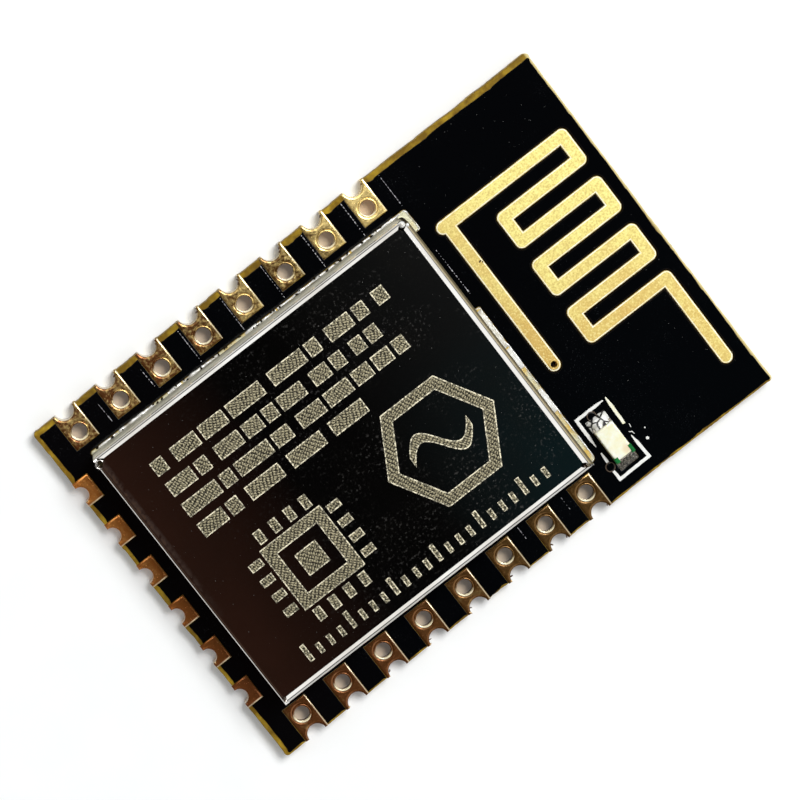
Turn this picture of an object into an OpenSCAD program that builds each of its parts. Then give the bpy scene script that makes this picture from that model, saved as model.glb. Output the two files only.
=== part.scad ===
// Wireless microcontroller module: a small board with half-hole edge pads, a printed
// meander antenna, an indicator light and a folded shield can over the chips.
// X runs along the board towards the antenna, Z is up, and the origin is the middle
// of the board's underside.

/* [Board] */
// Length of the board
board_l = 24; // [23:0.5:40]
// Width of the board
board_w = 16; // [15:0.5:30]
// Thickness of the bare laminate
laminate_t = 0.7; // [0.4:0.05:1.6]
// Radius of the board's corners
board_corner_r = 0.15; // [0.05:0.05:0.5]
// Thickness of the copper on each face, with its gold finish
copper_t = 0.05; // [0.04:0.005:0.1]
// Thickness of the solder mask on each face
mask_t = 0.03; // [0.02:0.005:0.04]
// Bare laminate left along the long edges
mask_margin_side = 0.12; // [0.02:0.02:0.3]
// Bare laminate left along the short edges
mask_margin_end = 0.18; // [0.02:0.02:0.3]
// Gap between the solder mask and the copper that it leaves open
mask_gap = 0.06; // [0.02:0.01:0.1]

/* [Edge pads] */
// Spacing of the pads on every edge
pad_pitch = 2; // [1.6:0.1:2.1]
// Width of a pad
pad_w = 1.08; // [0.95:0.01:1.3]
// Length of a pad on the long edges
side_pad_l = 1.55; // [1.5:0.01:1.65]
// Length of a pad on the short edge
end_pad_l = 0.72; // [0.5:0.01:0.9]
// Number of pads on each long edge
side_pad_count = 8; // [4:1:9]
// Number of pads on the short edge
end_pad_count = 6; // [2:1:6]
// Distance from the short edge to the first long-edge pad
first_pad_from_end = 1.5; // [1.2:0.1:2]
// Diameter of the plated hole in a long-edge pad
hole_d = 0.74; // [0.6:0.01:0.8]
// Distance from the long edge to that hole
hole_from_edge = 1; // [0.95:0.01:1.05]
// Diameter of the half hole in a long edge
side_notch_d = 0.8; // [0.5:0.01:0.85]
// Diameter of the half hole in the short edge
end_notch_d = 0.66; // [0.4:0.01:0.8]
// Thickness of the plating in every hole
plating_t = 0.04; // [0.02:0.005:0.05]

/* [Shield can] */
// Length of the can
can_l = 15; // [14:0.1:16]
// Width of the can
can_w = 12; // [11.4:0.1:12.2]
// Height of the can above its ground track
can_h = 2.2; // [2.1:0.1:4]
// Thickness of the can's sheet
can_sheet = 0.2; // [0.1:0.01:0.25]
// Outer radius of the can's folds
can_fold_r = 0.3; // [0.26:0.01:0.5]
// Slit left beside the folds at each corner
can_corner_slit = 0.18; // [0.1:0.01:0.4]
// Distance from the short edge to the can's wall
can_from_end = 1.32; // [1.2:0.01:1.5]
// Width of the ground track under the can's wall
ground_w = 0.55; // [0.4:0.01:0.6]
// Part of the ground track outside the wall
ground_lip = 0.16; // [0.1:0.01:0.2]
// Height of the solder along the can's foot
solder_h = 0.22; // [0.1:0.01:0.4]
// Number of solder runs on a long wall
solder_runs_long = 5; // [2:1:8]
// Number of solder runs on a short wall
solder_runs_short = 3; // [2:1:6]
// Gap between solder runs
solder_gap = 0.5; // [0.2:0.05:1]

/* [Antenna] */
// Width of the antenna's track
trace_w = 0.57; // [0.4:0.01:0.65]
// Distance from the long edge to the middle of the first bar
bar_from_edge = 3.4; // [2.8:0.05:4]
// Number of bars in the meander
bar_count = 7; // [3:2:7]
// Spacing of the bars
bar_pitch = 1.145; // [1:0.005:1.25]
// Step of each turn of the meander towards the can
bar_lean = 0.015; // [0:0.005:0.05]
// Distance from the board's end to the meander's outer turns
meander_from_end = 0.86; // [0.5:0.01:1.5]
// Distance from the leg to the meander's inner turns
meander_from_leg = 1.92; // [1:0.01:2.5]
// Distance from the can to the middle of the leg
leg_from_can = 1.21; // [0.9:0.01:1.4]
// Length of the leg
leg_l = 6.85; // [5:0.01:7.2]
// Length of the stub between the leg and the first bar's end
stub_l = 0.2; // [0.1:0.01:0.3]
// Distance from the long edge to the end of the tail
tail_from_edge = 1.85; // [1:0.01:3]
// Diameter of a hole that joins the two faces
via_d = 0.26; // [0.2:0.01:0.3]

/* [Indicator light] */
// Length of the light
led_l = 1.6; // [1.4:0.05:1.8]
// Width of the light
led_w = 0.84; // [0.7:0.02:0.9]
// Thickness of the light's base
led_base_t = 0.22; // [0.15:0.01:0.4]
// Height of the lens on the base
led_lens_t = 0.34; // [0.2:0.01:0.6]
// Length of each metal end
led_end_l = 0.26; // [0.15:0.01:0.35]
// Size of the green polarity marks
led_mark = 0.2; // [0.1:0.01:0.25]
// Distance from the can to the middle of the light
led_from_can = 1.23; // [1.05:0.01:1.4]
// Distance from the long edge to the middle of the light
led_from_edge = 1.98; // [1.7:0.01:2.2]
// Width of a land under the light
led_land_w = 0.86; // [0.7:0.01:0.95]
// Reach of a land beyond the light's end
led_land_reach = 0.36; // [0.25:0.01:0.45]
// Height of the solder at the light's ends
led_solder_h = 0.2; // [0.1:0.01:0.22]
// Length of the printed frame
frame_l = 2.95; // [2.8:0.01:3.2]
// Width of the printed frame
frame_w = 1.59; // [1.4:0.01:1.7]
// Offset of the frame from the light along the board's width
frame_shift = 0.03; // [0:0.01:0.1]
// Width of a printed line
print_w = 0.12; // [0.08:0.01:0.18]
// Thickness of the print
print_t = 0.02; // [0.01:0.005:0.04]
// Break in each long side of the frame
frame_break = 0.36; // [0.1:0.01:0.6]
// Diameter of the printed dot
dot_d = 0.16; // [0.1:0.01:0.3]
// Distance from the frame to the printed dot
dot_from_frame = 0.3; // [0.2:0.01:0.6]

/* [Microcontroller] */
// Side of the microcontroller
mcu_w = 5; // [4.5:0.1:5.2]
// Height of the microcontroller
mcu_h = 0.85; // [0.6:0.05:1.2]
// Terminals on each side of the microcontroller
mcu_side_count = 8; // [5:1:8]
// Spacing of the microcontroller's terminals
mcu_pitch = 0.5; // [0.45:0.01:0.52]
// Width of a microcontroller terminal
mcu_term_w = 0.24; // [0.18:0.01:0.3]
// Length of a microcontroller terminal
mcu_term_l = 0.4; // [0.3:0.01:0.5]
// Thickness of the microcontroller's terminals
mcu_term_t = 0.2; // [0.1:0.01:0.25]
// Side of the microcontroller's centre pad
mcu_centre_w = 3.3; // [2.5:0.1:3.5]
// Distance of the microcontroller from the board's middle line
mcu_offset = 1.25; // [1:0.05:1.5]

/* [Flash memory] */
// Length of the memory's body
flash_l = 4.9; // [4.5:0.05:5.4]
// Width of the memory's body
flash_w = 3.9; // [3.5:0.05:4.2]
// Height of the memory's body
flash_h = 1.4; // [1.2:0.05:1.7]
// Gap between the memory's body and its leads' feet
flash_standoff = 0.1; // [0.05:0.01:0.15]
// Width across the memory's leads
flash_span = 6; // [5.8:0.1:8]
// Spacing of the memory's leads
flash_pitch = 1.27; // [1:0.01:1.3]
// Width of a memory lead
flash_lead_w = 0.42; // [0.3:0.01:0.5]
// Thickness of a memory lead
flash_lead_t = 0.2; // [0.1:0.01:0.25]
// Length of a memory lead's foot
flash_foot_l = 0.6; // [0.4:0.01:0.7]
// Gap between the can's inside and the memory
flash_wall_gap = 0.6; // [0.5:0.05:1]

/* [Crystal and chip parts] */
// Length of the crystal
crystal_l = 2.5; // [2:0.1:3.4]
// Width of the crystal
crystal_w = 2; // [1.6:0.1:2.6]
// Height of the crystal's ceramic base
crystal_base_h = 0.45; // [0.3:0.01:0.6]
// Height of the crystal's metal lid
crystal_lid_h = 0.25; // [0.15:0.01:0.4]
// Rim of base left around the lid
crystal_rim = 0.15; // [0.1:0.01:0.3]
// Side of a land under the crystal's corner
crystal_land = 0.75; // [0.6:0.05:0.8]
// Length of a chip part
chip_l = 1; // [0.8:0.05:1.1]
// Width of a chip part
chip_w = 0.5; // [0.4:0.02:0.6]
// Length of a chip part's metal end
chip_end_l = 0.24; // [0.15:0.01:0.3]
// Height of a chip capacitor
capacitor_h = 0.5; // [0.3:0.02:0.8]
// Height of a chip resistor
resistor_h = 0.35; // [0.25:0.01:0.5]
// Height of a chip inductor
inductor_h = 0.55; // [0.3:0.01:0.8]
// Spacing of chip parts in a row
chip_pitch = 1.6; // [1.5:0.05:1.7]
// Gap between neighbouring parts under the can
part_gap = 0.5; // [0.4:0.05:0.7]
// Gap between the memory and the microcontroller
chip_gap = 1; // [0.8:0.05:1.7]

/* [Hidden] */
$fn = 64;
spill = 1;
board_x0 = -board_l / 2;
board_x1 = board_l / 2;
board_y1 = board_w / 2;
laminate_z = copper_t;
face_z = laminate_z + laminate_t;
copper_z = face_z + copper_t;
mask_top_z = face_z + mask_t;

first_pad_x = board_x0 + first_pad_from_end;
first_end_pad_y = pad_pitch * (end_pad_count - 1) / 2;
hole_r = hole_d / 2;
side_notch_r = side_notch_d / 2;
end_notch_r = end_notch_d / 2;

can_x0 = board_x0 + can_from_end;
can_x1 = can_x0 + can_l;
can_mid_x = can_x0 + can_l / 2;
can_corner = can_fold_r + can_corner_slit;
solder_w = min(ground_lip, solder_h);

leg_x = can_x1 + leg_from_can;
bar_y = board_y1 - bar_from_edge;
turn_out_x = board_x1 - meander_from_end;
turn_in_x = leg_x + meander_from_leg;
tail_x = turn_x(bar_count - 1);
tail_y = -board_y1 + tail_from_edge;
leg_end_y = bar_y - leg_l;
via_r = via_d / 2;
via_wall_r = via_r + plating_t;

led_x = can_x1 + led_from_can;
led_y = -board_y1 + led_from_edge;
led_land_l = led_end_l + led_land_reach;
frame_y = led_y + frame_shift;
led_vias = [
    [led_x, led_y + led_l / 2 + led_land_reach + via_wall_r],
    [led_x - frame_w / 2, led_y - led_l / 2 + led_mark],
];

flash_x = can_x0 + can_sheet + flash_wall_gap + flash_l / 2;
flash_body_z = copper_z + flash_standoff;
flash_lead_z = flash_body_z + flash_h / 2;
mcu_x = flash_x + flash_l / 2 + chip_gap + mcu_w / 2;
mcu_y = mcu_offset;
crystal_y = mcu_y - mcu_w / 2 - part_gap - crystal_w / 2;
row_above_mcu = mcu_y + mcu_w / 2 + part_gap + chip_w / 2;
row_below_crystal = crystal_y - crystal_w / 2 - part_gap - chip_w / 2;
row_beside_mcu = mcu_x + mcu_w / 2 + part_gap + chip_w / 2;
beside_crystal = crystal_l / 2 + part_gap + chip_w / 2;
beyond_leads = flash_span / 2 + part_gap + chip_w / 2;

// Places of the chip parts: x, y and turn
capacitor_spots = concat(
    [for (i = [-1:1]) [mcu_x + i * chip_pitch, row_above_mcu, 0]],
    [for (side = [-1, 1]) [mcu_x + side * beside_crystal, crystal_y, 90]],
    [[flash_x, beyond_leads, 0]]
);
resistor_spots = concat(
    [for (i = [-1:1]) [mcu_x + i * chip_pitch, row_below_crystal, 0]],
    [for (side = [-1, 1]) [flash_x + side * chip_pitch / 2, -beyond_leads, 0]]
);
inductor_spots = [for (i = [-1:1]) [row_beside_mcu, mcu_y + i * chip_pitch, 90]];
chip_spots = concat(capacitor_spots, resistor_spots, inductor_spots);

left_pads = [for (i = [1:side_pad_count]) str("left_pad_", i)];
right_pads = [for (i = [1:side_pad_count]) str("right_pad_", i)];
end_pads = [for (i = [1:end_pad_count]) str("end_pad_", i)];

function pad_x(i) = first_pad_x + (i - 1) * pad_pitch;
function end_pad_y(i) = first_end_pad_y - (i - 1) * pad_pitch;
function bar_at(k) = bar_y - k * bar_pitch;
function turn_x(k) = (k % 2 == 0 ? turn_out_x : turn_in_x) - k * bar_lean;
function antenna_points() = concat(
    [[leg_x - stub_l, bar_y]],
    [for (k = [0:bar_count - 2], end = [0, 1]) [turn_x(k), bar_at(k + end)]],
    [[tail_x, bar_at(bar_count - 1)], [tail_x, tail_y]]
);

// Flat rectangle about a middle point
module plate(x, y, l, w) {
    translate([x - l / 2, y - w / 2]) square([l, w]);
}

// Solid block about a middle point, standing at height z
module block(x, y, z, l, w, h) {
    translate([x - l / 2, y - w / 2, z]) cube([l, w, h]);
}

// Flat rectangle with round corners
module round_plate(l, w, r) {
    plate(0, 0, l - 2 * r, w);
    plate(0, 0, l, w - 2 * r);
    for (sx = [-1, 1], sy = [-1, 1])
        translate([sx * (l / 2 - r), sy * (w / 2 - r)]) circle(r);
}

// Flat track of one width through a list of points, square to the axes
module track(points, width) {
    for (p = points) translate(p) circle(width / 2);
    for (i = [1:len(points) - 1]) {
        a = points[i - 1];
        b = points[i];
        middle = (a + b) / 2;
        run = norm(b - a);
        along_x = a.y == b.y;
        plate(middle.x, middle.y, along_x ? run : width, along_x ? width : run);
    }
}

// Places something drawn at the middle of an edge, which points along +Y there
module at_left_pad(i) {
    translate([pad_x(i), board_y1, 0]) children();
}

module at_right_pad(i) {
    translate([pad_x(i), -board_y1, 0]) rotate(180) children();
}

module at_end_pad(i) {
    translate([board_x0, end_pad_y(i), 0]) rotate(90) children();
}

module at_every_side_pad() {
    for (i = [1:side_pad_count]) {
        at_left_pad(i) children();
        at_right_pad(i) children();
    }
}

module at_every_end_pad() {
    for (i = [1:end_pad_count]) at_end_pad(i) children();
}

module side_drill(grow) {
    translate([0, -hole_from_edge]) circle(hole_r + grow);
    circle(side_notch_r + grow);
}

module end_drill(grow) {
    circle(end_notch_r + grow);
}

module pad_window(length) {
    plate(0, -length / 2, pad_w + 2 * mask_gap, length + 2 * mask_gap);
}

module board_outline() {
    round_plate(board_l, board_w, board_corner_r);
}

module mask_outline() {
    plate(0, 0, board_l - 2 * mask_margin_end, board_w - 2 * mask_margin_side);
}

module antenna_outline(width) {
    track(antenna_points(), width);
    track([[leg_x, bar_y], [leg_x, leg_end_y]], width);
}

module ground_outline(grow) {
    outside = 2 * (ground_lip + grow);
    inside = 2 * (ground_w - ground_lip + grow);
    difference() {
        plate(can_mid_x, 0, can_l + outside, can_w + outside);
        plate(can_mid_x, 0, can_l - inside, can_w - inside);
    }
}

module led_land_outlines(grow) {
    for (side = [-1, 1])
        plate(led_x, led_y + side * (led_l / 2 + led_land_reach - led_land_l / 2),
            led_land_w + 2 * grow, led_land_l + 2 * grow);
}

module chip_land_outlines(grow) {
    for (s = chip_spots)
        translate([s.x, s.y]) rotate(s[2])
            for (side = [-1, 1])
                plate(side * (chip_l - chip_end_l) / 2, 0, chip_end_l + 2 * grow, chip_w + 2 * grow);
}

module crystal_land_outlines(grow) {
    side = crystal_land + 2 * grow;
    for (sx = [-1, 1], sy = [-1, 1])
        plate(mcu_x + sx * (crystal_l - crystal_land) / 2,
            crystal_y + sy * (crystal_w - crystal_land) / 2, side, side);
}

module flash_land_outlines(grow) {
    for (i = [-1.5:1:1.5], side = [-1, 1])
        plate(flash_x + i * flash_pitch, side * (flash_span - flash_foot_l) / 2,
            flash_lead_w + 2 * grow, flash_foot_l + 2 * grow);
}

module mcu_terminal_outlines() {
    translate([mcu_x, mcu_y])
        for (turn = [0:90:270], i = [0:mcu_side_count - 1])
            rotate(turn)
                plate((i - (mcu_side_count - 1) / 2) * mcu_pitch, (mcu_w - mcu_term_l) / 2,
                    mcu_term_w, mcu_term_l);
    plate(mcu_x, mcu_y, mcu_centre_w, mcu_centre_w);
}

module mask_film(windows_above) {
    linear_extrude(mask_t) difference() {
        mask_outline();
        at_every_side_pad() pad_window(side_pad_l);
        at_every_end_pad() pad_window(end_pad_l);
        if (windows_above) {
            antenna_outline(trace_w + 2 * mask_gap);
            ground_outline(mask_gap);
            led_land_outlines(mask_gap);
            chip_land_outlines(mask_gap);
            crystal_land_outlines(mask_gap);
            flash_land_outlines(mask_gap);
            plate(mcu_x, mcu_y, mcu_w + 2 * mask_gap, mcu_w + 2 * mask_gap);
        }
    }
}

module substrate() {
    color("darkgoldenrod") translate([0, 0, laminate_z]) linear_extrude(laminate_t) difference() {
        board_outline();
        at_every_side_pad() side_drill(plating_t);
        at_every_end_pad() end_drill(plating_t);
        translate([leg_x, leg_end_y]) circle(via_wall_r);
        for (v = led_vias) translate(v) circle(via_wall_r);
    }
}

module solder_mask_top() {
    color([0.03, 0.03, 0.04]) translate([0, 0, face_z]) mask_film(true);
}

module solder_mask_bottom() {
    color([0.03, 0.03, 0.04]) translate([0, 0, laminate_z - mask_t]) mask_film(false);
}

// One pad: lands on both faces, joined by the plating in its holes
module edge_pad(length) {
    linear_extrude(copper_z) intersection() {
        children(0);
        translate([-pad_w, -length]) square([2 * pad_w, length]);
    }
    for (z = [0, face_z])
        translate([0, 0, z]) linear_extrude(copper_t) difference() {
            plate(0, -length / 2, pad_w, length);
            children(1);
        }
}

module side_pad() {
    color([0.78, 0.6, 0.3]) edge_pad(side_pad_l) {
        difference() {
            side_drill(plating_t);
            side_drill(0);
        }
        side_drill(0);
    }
}

module end_pad() {
    color([0.62, 0.42, 0.22]) edge_pad(end_pad_l) {
        difference() {
            end_drill(plating_t);
            end_drill(0);
        }
        end_drill(0);
    }
}

module antenna_trace() {
    color([0.93, 0.8, 0.45]) translate([0, 0, face_z]) linear_extrude(copper_t) difference() {
        antenna_outline(trace_w);
        translate([leg_x, leg_end_y]) circle(via_r);
    }
}

module board_vias() {
    color([0.8, 0.62, 0.3]) translate([0, 0, laminate_z]) linear_extrude(laminate_t)
        for (v = concat([[leg_x, leg_end_y]], led_vias))
            translate(v) difference() {
                circle(via_wall_r);
                circle(via_r);
            }
}

module ground_track() {
    color([0.85, 0.7, 0.35]) translate([0, 0, face_z]) linear_extrude(copper_t) ground_outline(0);
}

// Section of a wall and its fold, from the wall's outer face inwards
module wall_section() {
    square([can_sheet, can_h - can_fold_r]);
    translate([can_fold_r, can_h - can_fold_r]) intersection() {
        difference() {
            circle(can_fold_r);
            circle(can_fold_r - can_sheet);
        }
        translate([-can_fold_r, 0]) square(can_fold_r);
    }
}

// A wall of one length with its outer face on the plane x = 0, running along Y
module can_wall(length) {
    translate([0, length / 2, 0]) rotate([90, 0, 0]) linear_extrude(length) wall_section();
}

module can_top_outline() {
    flat_l = can_l - 2 * can_fold_r;
    flat_w = can_w - 2 * can_fold_r;
    plain_l = flat_l - 2 * can_corner_slit;
    plain_w = flat_w - 2 * can_corner_slit;
    polygon([
        for (s = [[1, 1], [-1, 1], [-1, -1], [1, -1]])
            each s.x * s.y > 0
                ? [[s.x * flat_l / 2, s.y * plain_w / 2], [s.x * plain_l / 2, s.y * flat_w / 2]]
                : [[s.x * plain_l / 2, s.y * flat_w / 2], [s.x * flat_l / 2, s.y * plain_w / 2]]
    ]);
}

// Places something drawn on the plane x = 0 at each wall's outer face
module at_long_walls() {
    translate([can_mid_x, -can_w / 2, copper_z]) rotate(90) children();
    translate([can_mid_x, can_w / 2, copper_z]) rotate(-90) children();
}

module at_short_walls() {
    translate([can_x0, 0, copper_z]) children();
    translate([can_x1, 0, copper_z]) rotate(180) children();
}

module shield_can() {
    color([0.75, 0.75, 0.73]) {
        translate([can_mid_x, 0, copper_z + can_h - can_sheet]) linear_extrude(can_sheet) can_top_outline();
        at_long_walls() can_wall(can_l - 2 * can_corner);
        at_short_walls() can_wall(can_w - 2 * can_corner);
    }
}

// Runs of solder along a wall's foot, hollow-faced, on the plane x = 0
module solder_row(length, count) {
    run_l = (length - (count - 1) * solder_gap) / count;
    for (i = [0:count - 1])
        translate([0, -length / 2 + run_l + i * (run_l + solder_gap), 0])
            rotate([90, 0, 0]) linear_extrude(run_l) difference() {
                translate([-solder_w, 0]) square([solder_w, solder_h]);
                translate([-solder_h, solder_h]) circle(solder_h);
            }
}

module shield_solder() {
    color([0.82, 0.82, 0.8]) {
        at_long_walls() solder_row(can_l - 2 * can_corner, solder_runs_long);
        at_short_walls() solder_row(can_w - 2 * can_corner, solder_runs_short);
    }
}

module led_base() {
    color([0.9, 0.88, 0.75]) block(led_x, led_y, copper_z, led_w, led_l - 2 * led_end_l, led_base_t);
}

module led_lens() {
    color([0.95, 0.93, 0.78]) difference() {
        block(led_x, led_y, copper_z + led_base_t, led_w, led_l, led_lens_t);
        led_mark_blocks(spill);
    }
}

module led_ends() {
    color([0.8, 0.79, 0.75])
        for (side = [-1, 1])
            block(led_x, led_y + side * (led_l - led_end_l) / 2, copper_z, led_w, led_end_l, led_base_t);
}

// Polarity marks in the lens's sides, or the cuts for them, which reach past the lens
module led_mark_blocks(over) {
    for (side = [-1, 1])
        block(led_x + side * (led_w - led_mark + over) / 2, led_y - led_l / 2 + led_end_l,
            copper_z + led_base_t - over, led_mark + over, led_mark, led_lens_t + 2 * over);
}

module led_marks() {
    color([0.1, 0.45, 0.2]) led_mark_blocks(0);
}

module led_lands() {
    color([0.85, 0.7, 0.35]) translate([0, 0, face_z]) linear_extrude(copper_t) led_land_outlines(0);
}

module led_solder() {
    color([0.82, 0.82, 0.8])
        for (side = [-1, 1])
            translate([led_x - side * led_w / 2, led_y + side * led_l / 2, copper_z])
                rotate([90, 0, 90 + 90 * (1 - side)]) linear_extrude(led_w)
                    polygon([[0, 0], [led_land_reach, 0], [0, led_solder_h]]);
}

module printed_frame() {
    color("white") translate([0, 0, mask_top_z]) linear_extrude(print_t) {
        difference() {
            plate(led_x, frame_y, frame_w, frame_l);
            plate(led_x, frame_y, frame_w - 2 * print_w, frame_l - 2 * print_w);
            plate(led_x, frame_y, frame_w + spill, frame_break);
        }
        translate([led_x + frame_w / 2 + dot_from_frame, frame_y - frame_l / 4]) circle(dot_d / 2);
    }
}

module mcu_body() {
    color([0.12, 0.12, 0.13]) difference() {
        block(mcu_x, mcu_y, copper_z, mcu_w, mcu_w, mcu_h);
        translate([0, 0, copper_z - spill]) linear_extrude(mcu_term_t + spill) mcu_terminal_outlines();
    }
}

module mcu_terminals() {
    color([0.8, 0.78, 0.72]) translate([0, 0, copper_z]) linear_extrude(mcu_term_t) mcu_terminal_outlines();
}

module flash_body() {
    color([0.12, 0.12, 0.13]) block(flash_x, 0, flash_body_z, flash_l, flash_w, flash_h);
}

// One bent lead seen from its side: shoulder at the body, drop, and foot on the land
module flash_lead_section() {
    reach = (flash_span - flash_w) / 2;
    drop_y = reach - flash_foot_l;
    translate([0, flash_lead_z - copper_z - flash_lead_t / 2]) square([drop_y + flash_lead_t, flash_lead_t]);
    translate([drop_y, 0]) square([flash_lead_t, flash_lead_z - copper_z]);
    translate([drop_y, 0]) square([flash_foot_l, flash_lead_t]);
}

module flash_leads() {
    color([0.8, 0.8, 0.78])
        for (i = [-1.5:1:1.5], side = [-1, 1])
            translate([flash_x + i * flash_pitch - side * flash_lead_w / 2, side * flash_w / 2, copper_z])
                rotate([90, 0, 90 + 90 * (1 - side)]) linear_extrude(flash_lead_w) flash_lead_section();
}

module crystal_base() {
    color([0.35, 0.33, 0.3]) block(mcu_x, crystal_y, copper_z, crystal_l, crystal_w, crystal_base_h);
}

module crystal_lid() {
    color([0.8, 0.8, 0.78])
        block(mcu_x, crystal_y, copper_z + crystal_base_h, crystal_l - 2 * crystal_rim,
            crystal_w - 2 * crystal_rim, crystal_lid_h);
}

// Middle parts, or the metal ends, of chip parts at a list of places
module chip_bodies(spots, height) {
    for (s = spots)
        translate([s.x, s.y]) rotate(s[2])
            block(0, 0, copper_z, chip_l - 2 * chip_end_l, chip_w, height);
}

module chip_ends(spots, height) {
    for (s = spots, side = [-1, 1])
        translate([s.x, s.y]) rotate(s[2])
            block(side * (chip_l - chip_end_l) / 2, 0, copper_z, chip_end_l, chip_w, height);
}

module capacitor_bodies() {
    color([0.6, 0.45, 0.3]) chip_bodies(capacitor_spots, capacitor_h);
}

module capacitor_ends() {
    color([0.8, 0.8, 0.78]) chip_ends(capacitor_spots, capacitor_h);
}

module resistor_bodies() {
    color([0.1, 0.1, 0.1]) chip_bodies(resistor_spots, resistor_h);
}

module resistor_ends() {
    color([0.8, 0.8, 0.78]) chip_ends(resistor_spots, resistor_h);
}

module inductor_bodies() {
    color([0.25, 0.35, 0.55]) chip_bodies(inductor_spots, inductor_h);
}

module inductor_ends() {
    color([0.8, 0.8, 0.78]) chip_ends(inductor_spots, inductor_h);
}

module component_lands() {
    color([0.85, 0.7, 0.35]) translate([0, 0, face_z]) linear_extrude(copper_t) {
        chip_land_outlines(0);
        crystal_land_outlines(0);
        flash_land_outlines(0);
        mcu_terminal_outlines();
    }
}

substrate();
solder_mask_top();
solder_mask_bottom();
for (i = [1:side_pad_count]) {
    at_left_pad(i) side_pad();
    at_right_pad(i) side_pad();
}
for (i = [1:end_pad_count]) {
    at_end_pad(i) end_pad();
}
antenna_trace();
board_vias();
ground_track();
shield_can();
shield_solder();
led_base();
led_lens();
led_ends();
led_marks();
led_lands();
led_solder();
printed_frame();
mcu_body();
mcu_terminals();
flash_body();
flash_leads();
crystal_base();
crystal_lid();
capacitor_bodies();
capacitor_ends();
resistor_bodies();
resistor_ends();
inductor_bodies();
inductor_ends();
component_lands();
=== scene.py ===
import math
import random

import bmesh
import bpy
from bpy.props import FloatProperty, FloatVectorProperty, IntProperty, PointerProperty
from mathutils import Matrix, Vector
from mathutils.geometry import tessellate_polygon


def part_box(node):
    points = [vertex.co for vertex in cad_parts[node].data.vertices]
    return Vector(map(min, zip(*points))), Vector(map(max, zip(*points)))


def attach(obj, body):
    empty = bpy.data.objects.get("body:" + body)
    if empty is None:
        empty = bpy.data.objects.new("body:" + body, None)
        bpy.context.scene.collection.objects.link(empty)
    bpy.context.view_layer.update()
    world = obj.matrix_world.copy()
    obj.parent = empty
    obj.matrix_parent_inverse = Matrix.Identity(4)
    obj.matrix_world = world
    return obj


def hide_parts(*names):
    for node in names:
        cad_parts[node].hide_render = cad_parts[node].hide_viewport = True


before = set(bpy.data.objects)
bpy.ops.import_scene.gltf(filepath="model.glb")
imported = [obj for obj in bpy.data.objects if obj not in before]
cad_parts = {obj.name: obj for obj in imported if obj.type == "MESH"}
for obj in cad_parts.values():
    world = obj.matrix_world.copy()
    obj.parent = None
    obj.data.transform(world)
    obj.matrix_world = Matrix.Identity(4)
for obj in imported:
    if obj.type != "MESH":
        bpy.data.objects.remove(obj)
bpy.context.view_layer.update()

bl_info = {
    "name": "Wireless Module Looks",
    "version": (1, 0, 0),
    "blender": (4, 5, 0),
    "location": "View3D > Sidebar > Module",
    "description": "Dresses a small shielded wireless board: gilt pads, printed antenna, can, solder and light",
    "category": "Object",
}

# Pieces are modelled in millimetres and brought to metres when they are placed
MM = 0.001
ROOT = "root"


def span(node):
    """Lowest and highest corner of a node of the frame, in millimetres."""
    low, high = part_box(node)
    return low / MM, high / MM


BOARD_LOW, BOARD_HIGH = span("substrate")
FACE_Z = BOARD_HIGH.z
COPPER_Z = span("antenna_trace")[1].z
MASK_Z = span("solder_mask_top")[1].z
CAN_LOW, CAN_HIGH = span("shield_can")
CAN_EDGES = (CAN_LOW.x, CAN_LOW.y, CAN_HIGH.x, CAN_HIGH.y)
LED_LOW, LED_HIGH = span("led_lens")
LANDS_LOW, LANDS_HIGH = span("led_lands")

# Pads: their count, spacing and size, and the radii of their plated holes
SIDE_COUNT = 8
END_COUNT = 6
PITCH = 2.0
PAD_HALF = 0.54
SIDE_LENGTH = 1.55
END_LENGTH = 0.72
SIDE_NOTCH = 0.4
END_NOTCH = 0.33
BORE = 0.37
BORE_DEPTH = 1.0
PLATING = 0.04
# How far the plating swells into each hole
COLLAR = 0.07
SIDE_X = [span("left_pad_1")[0].x + PAD_HALF + i * PITCH for i in range(SIDE_COUNT)]
END_Y = [((END_COUNT - 1) / 2 - i) * PITCH for i in range(END_COUNT)]

# Antenna: its track, the bar's end past the leg, the turns of its meander, and the hole in its leg
TRACE_WIDTH = 0.57
UNDERCUT = 0.012
STUB = 0.2
TURNS = 6
TURN_STEP = 1.145
TURN_X = (11.14, 7.45)
TURN_LEAN = 0.015
TAIL_X = 11.05
VIA = 0.13
# Places where the antenna's leg is nicked, and vias under the mask beside the light
NICKS = ((5.68, 2.69), (5.76, 2.62))
HIDDEN_VIAS = ((5.47, -4.77), (4.85, -6.8))

# Round opening at one corner of the can's lid
EYE = Vector((CAN_LOW.x + 0.12, CAN_HIGH.y - 0.31))
# Gap between copper and mask
CLEARANCE = 0.01
# Edge of the white print, from inside the mask to its top
PRINT_EDGE = [(0, MASK_Z - 0.005), (0, MASK_Z + 0.012), (0.012, MASK_Z + 0.02)]
# Edges that turn more than this stay sharp
CREASE = math.radians(50)


# Settings that a user would change


def length(millimetres, name, description):
    """A size in metres, given here in millimetres."""
    return FloatProperty(name=name, description=description, default=millimetres * MM, unit="LENGTH",
                         precision=6)


def colour(red, green, blue, name, description):
    return FloatVectorProperty(name=name, description=description, default=(red, green, blue), size=3,
                               subtype="COLOR", min=0.0, max=1.0)


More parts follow.
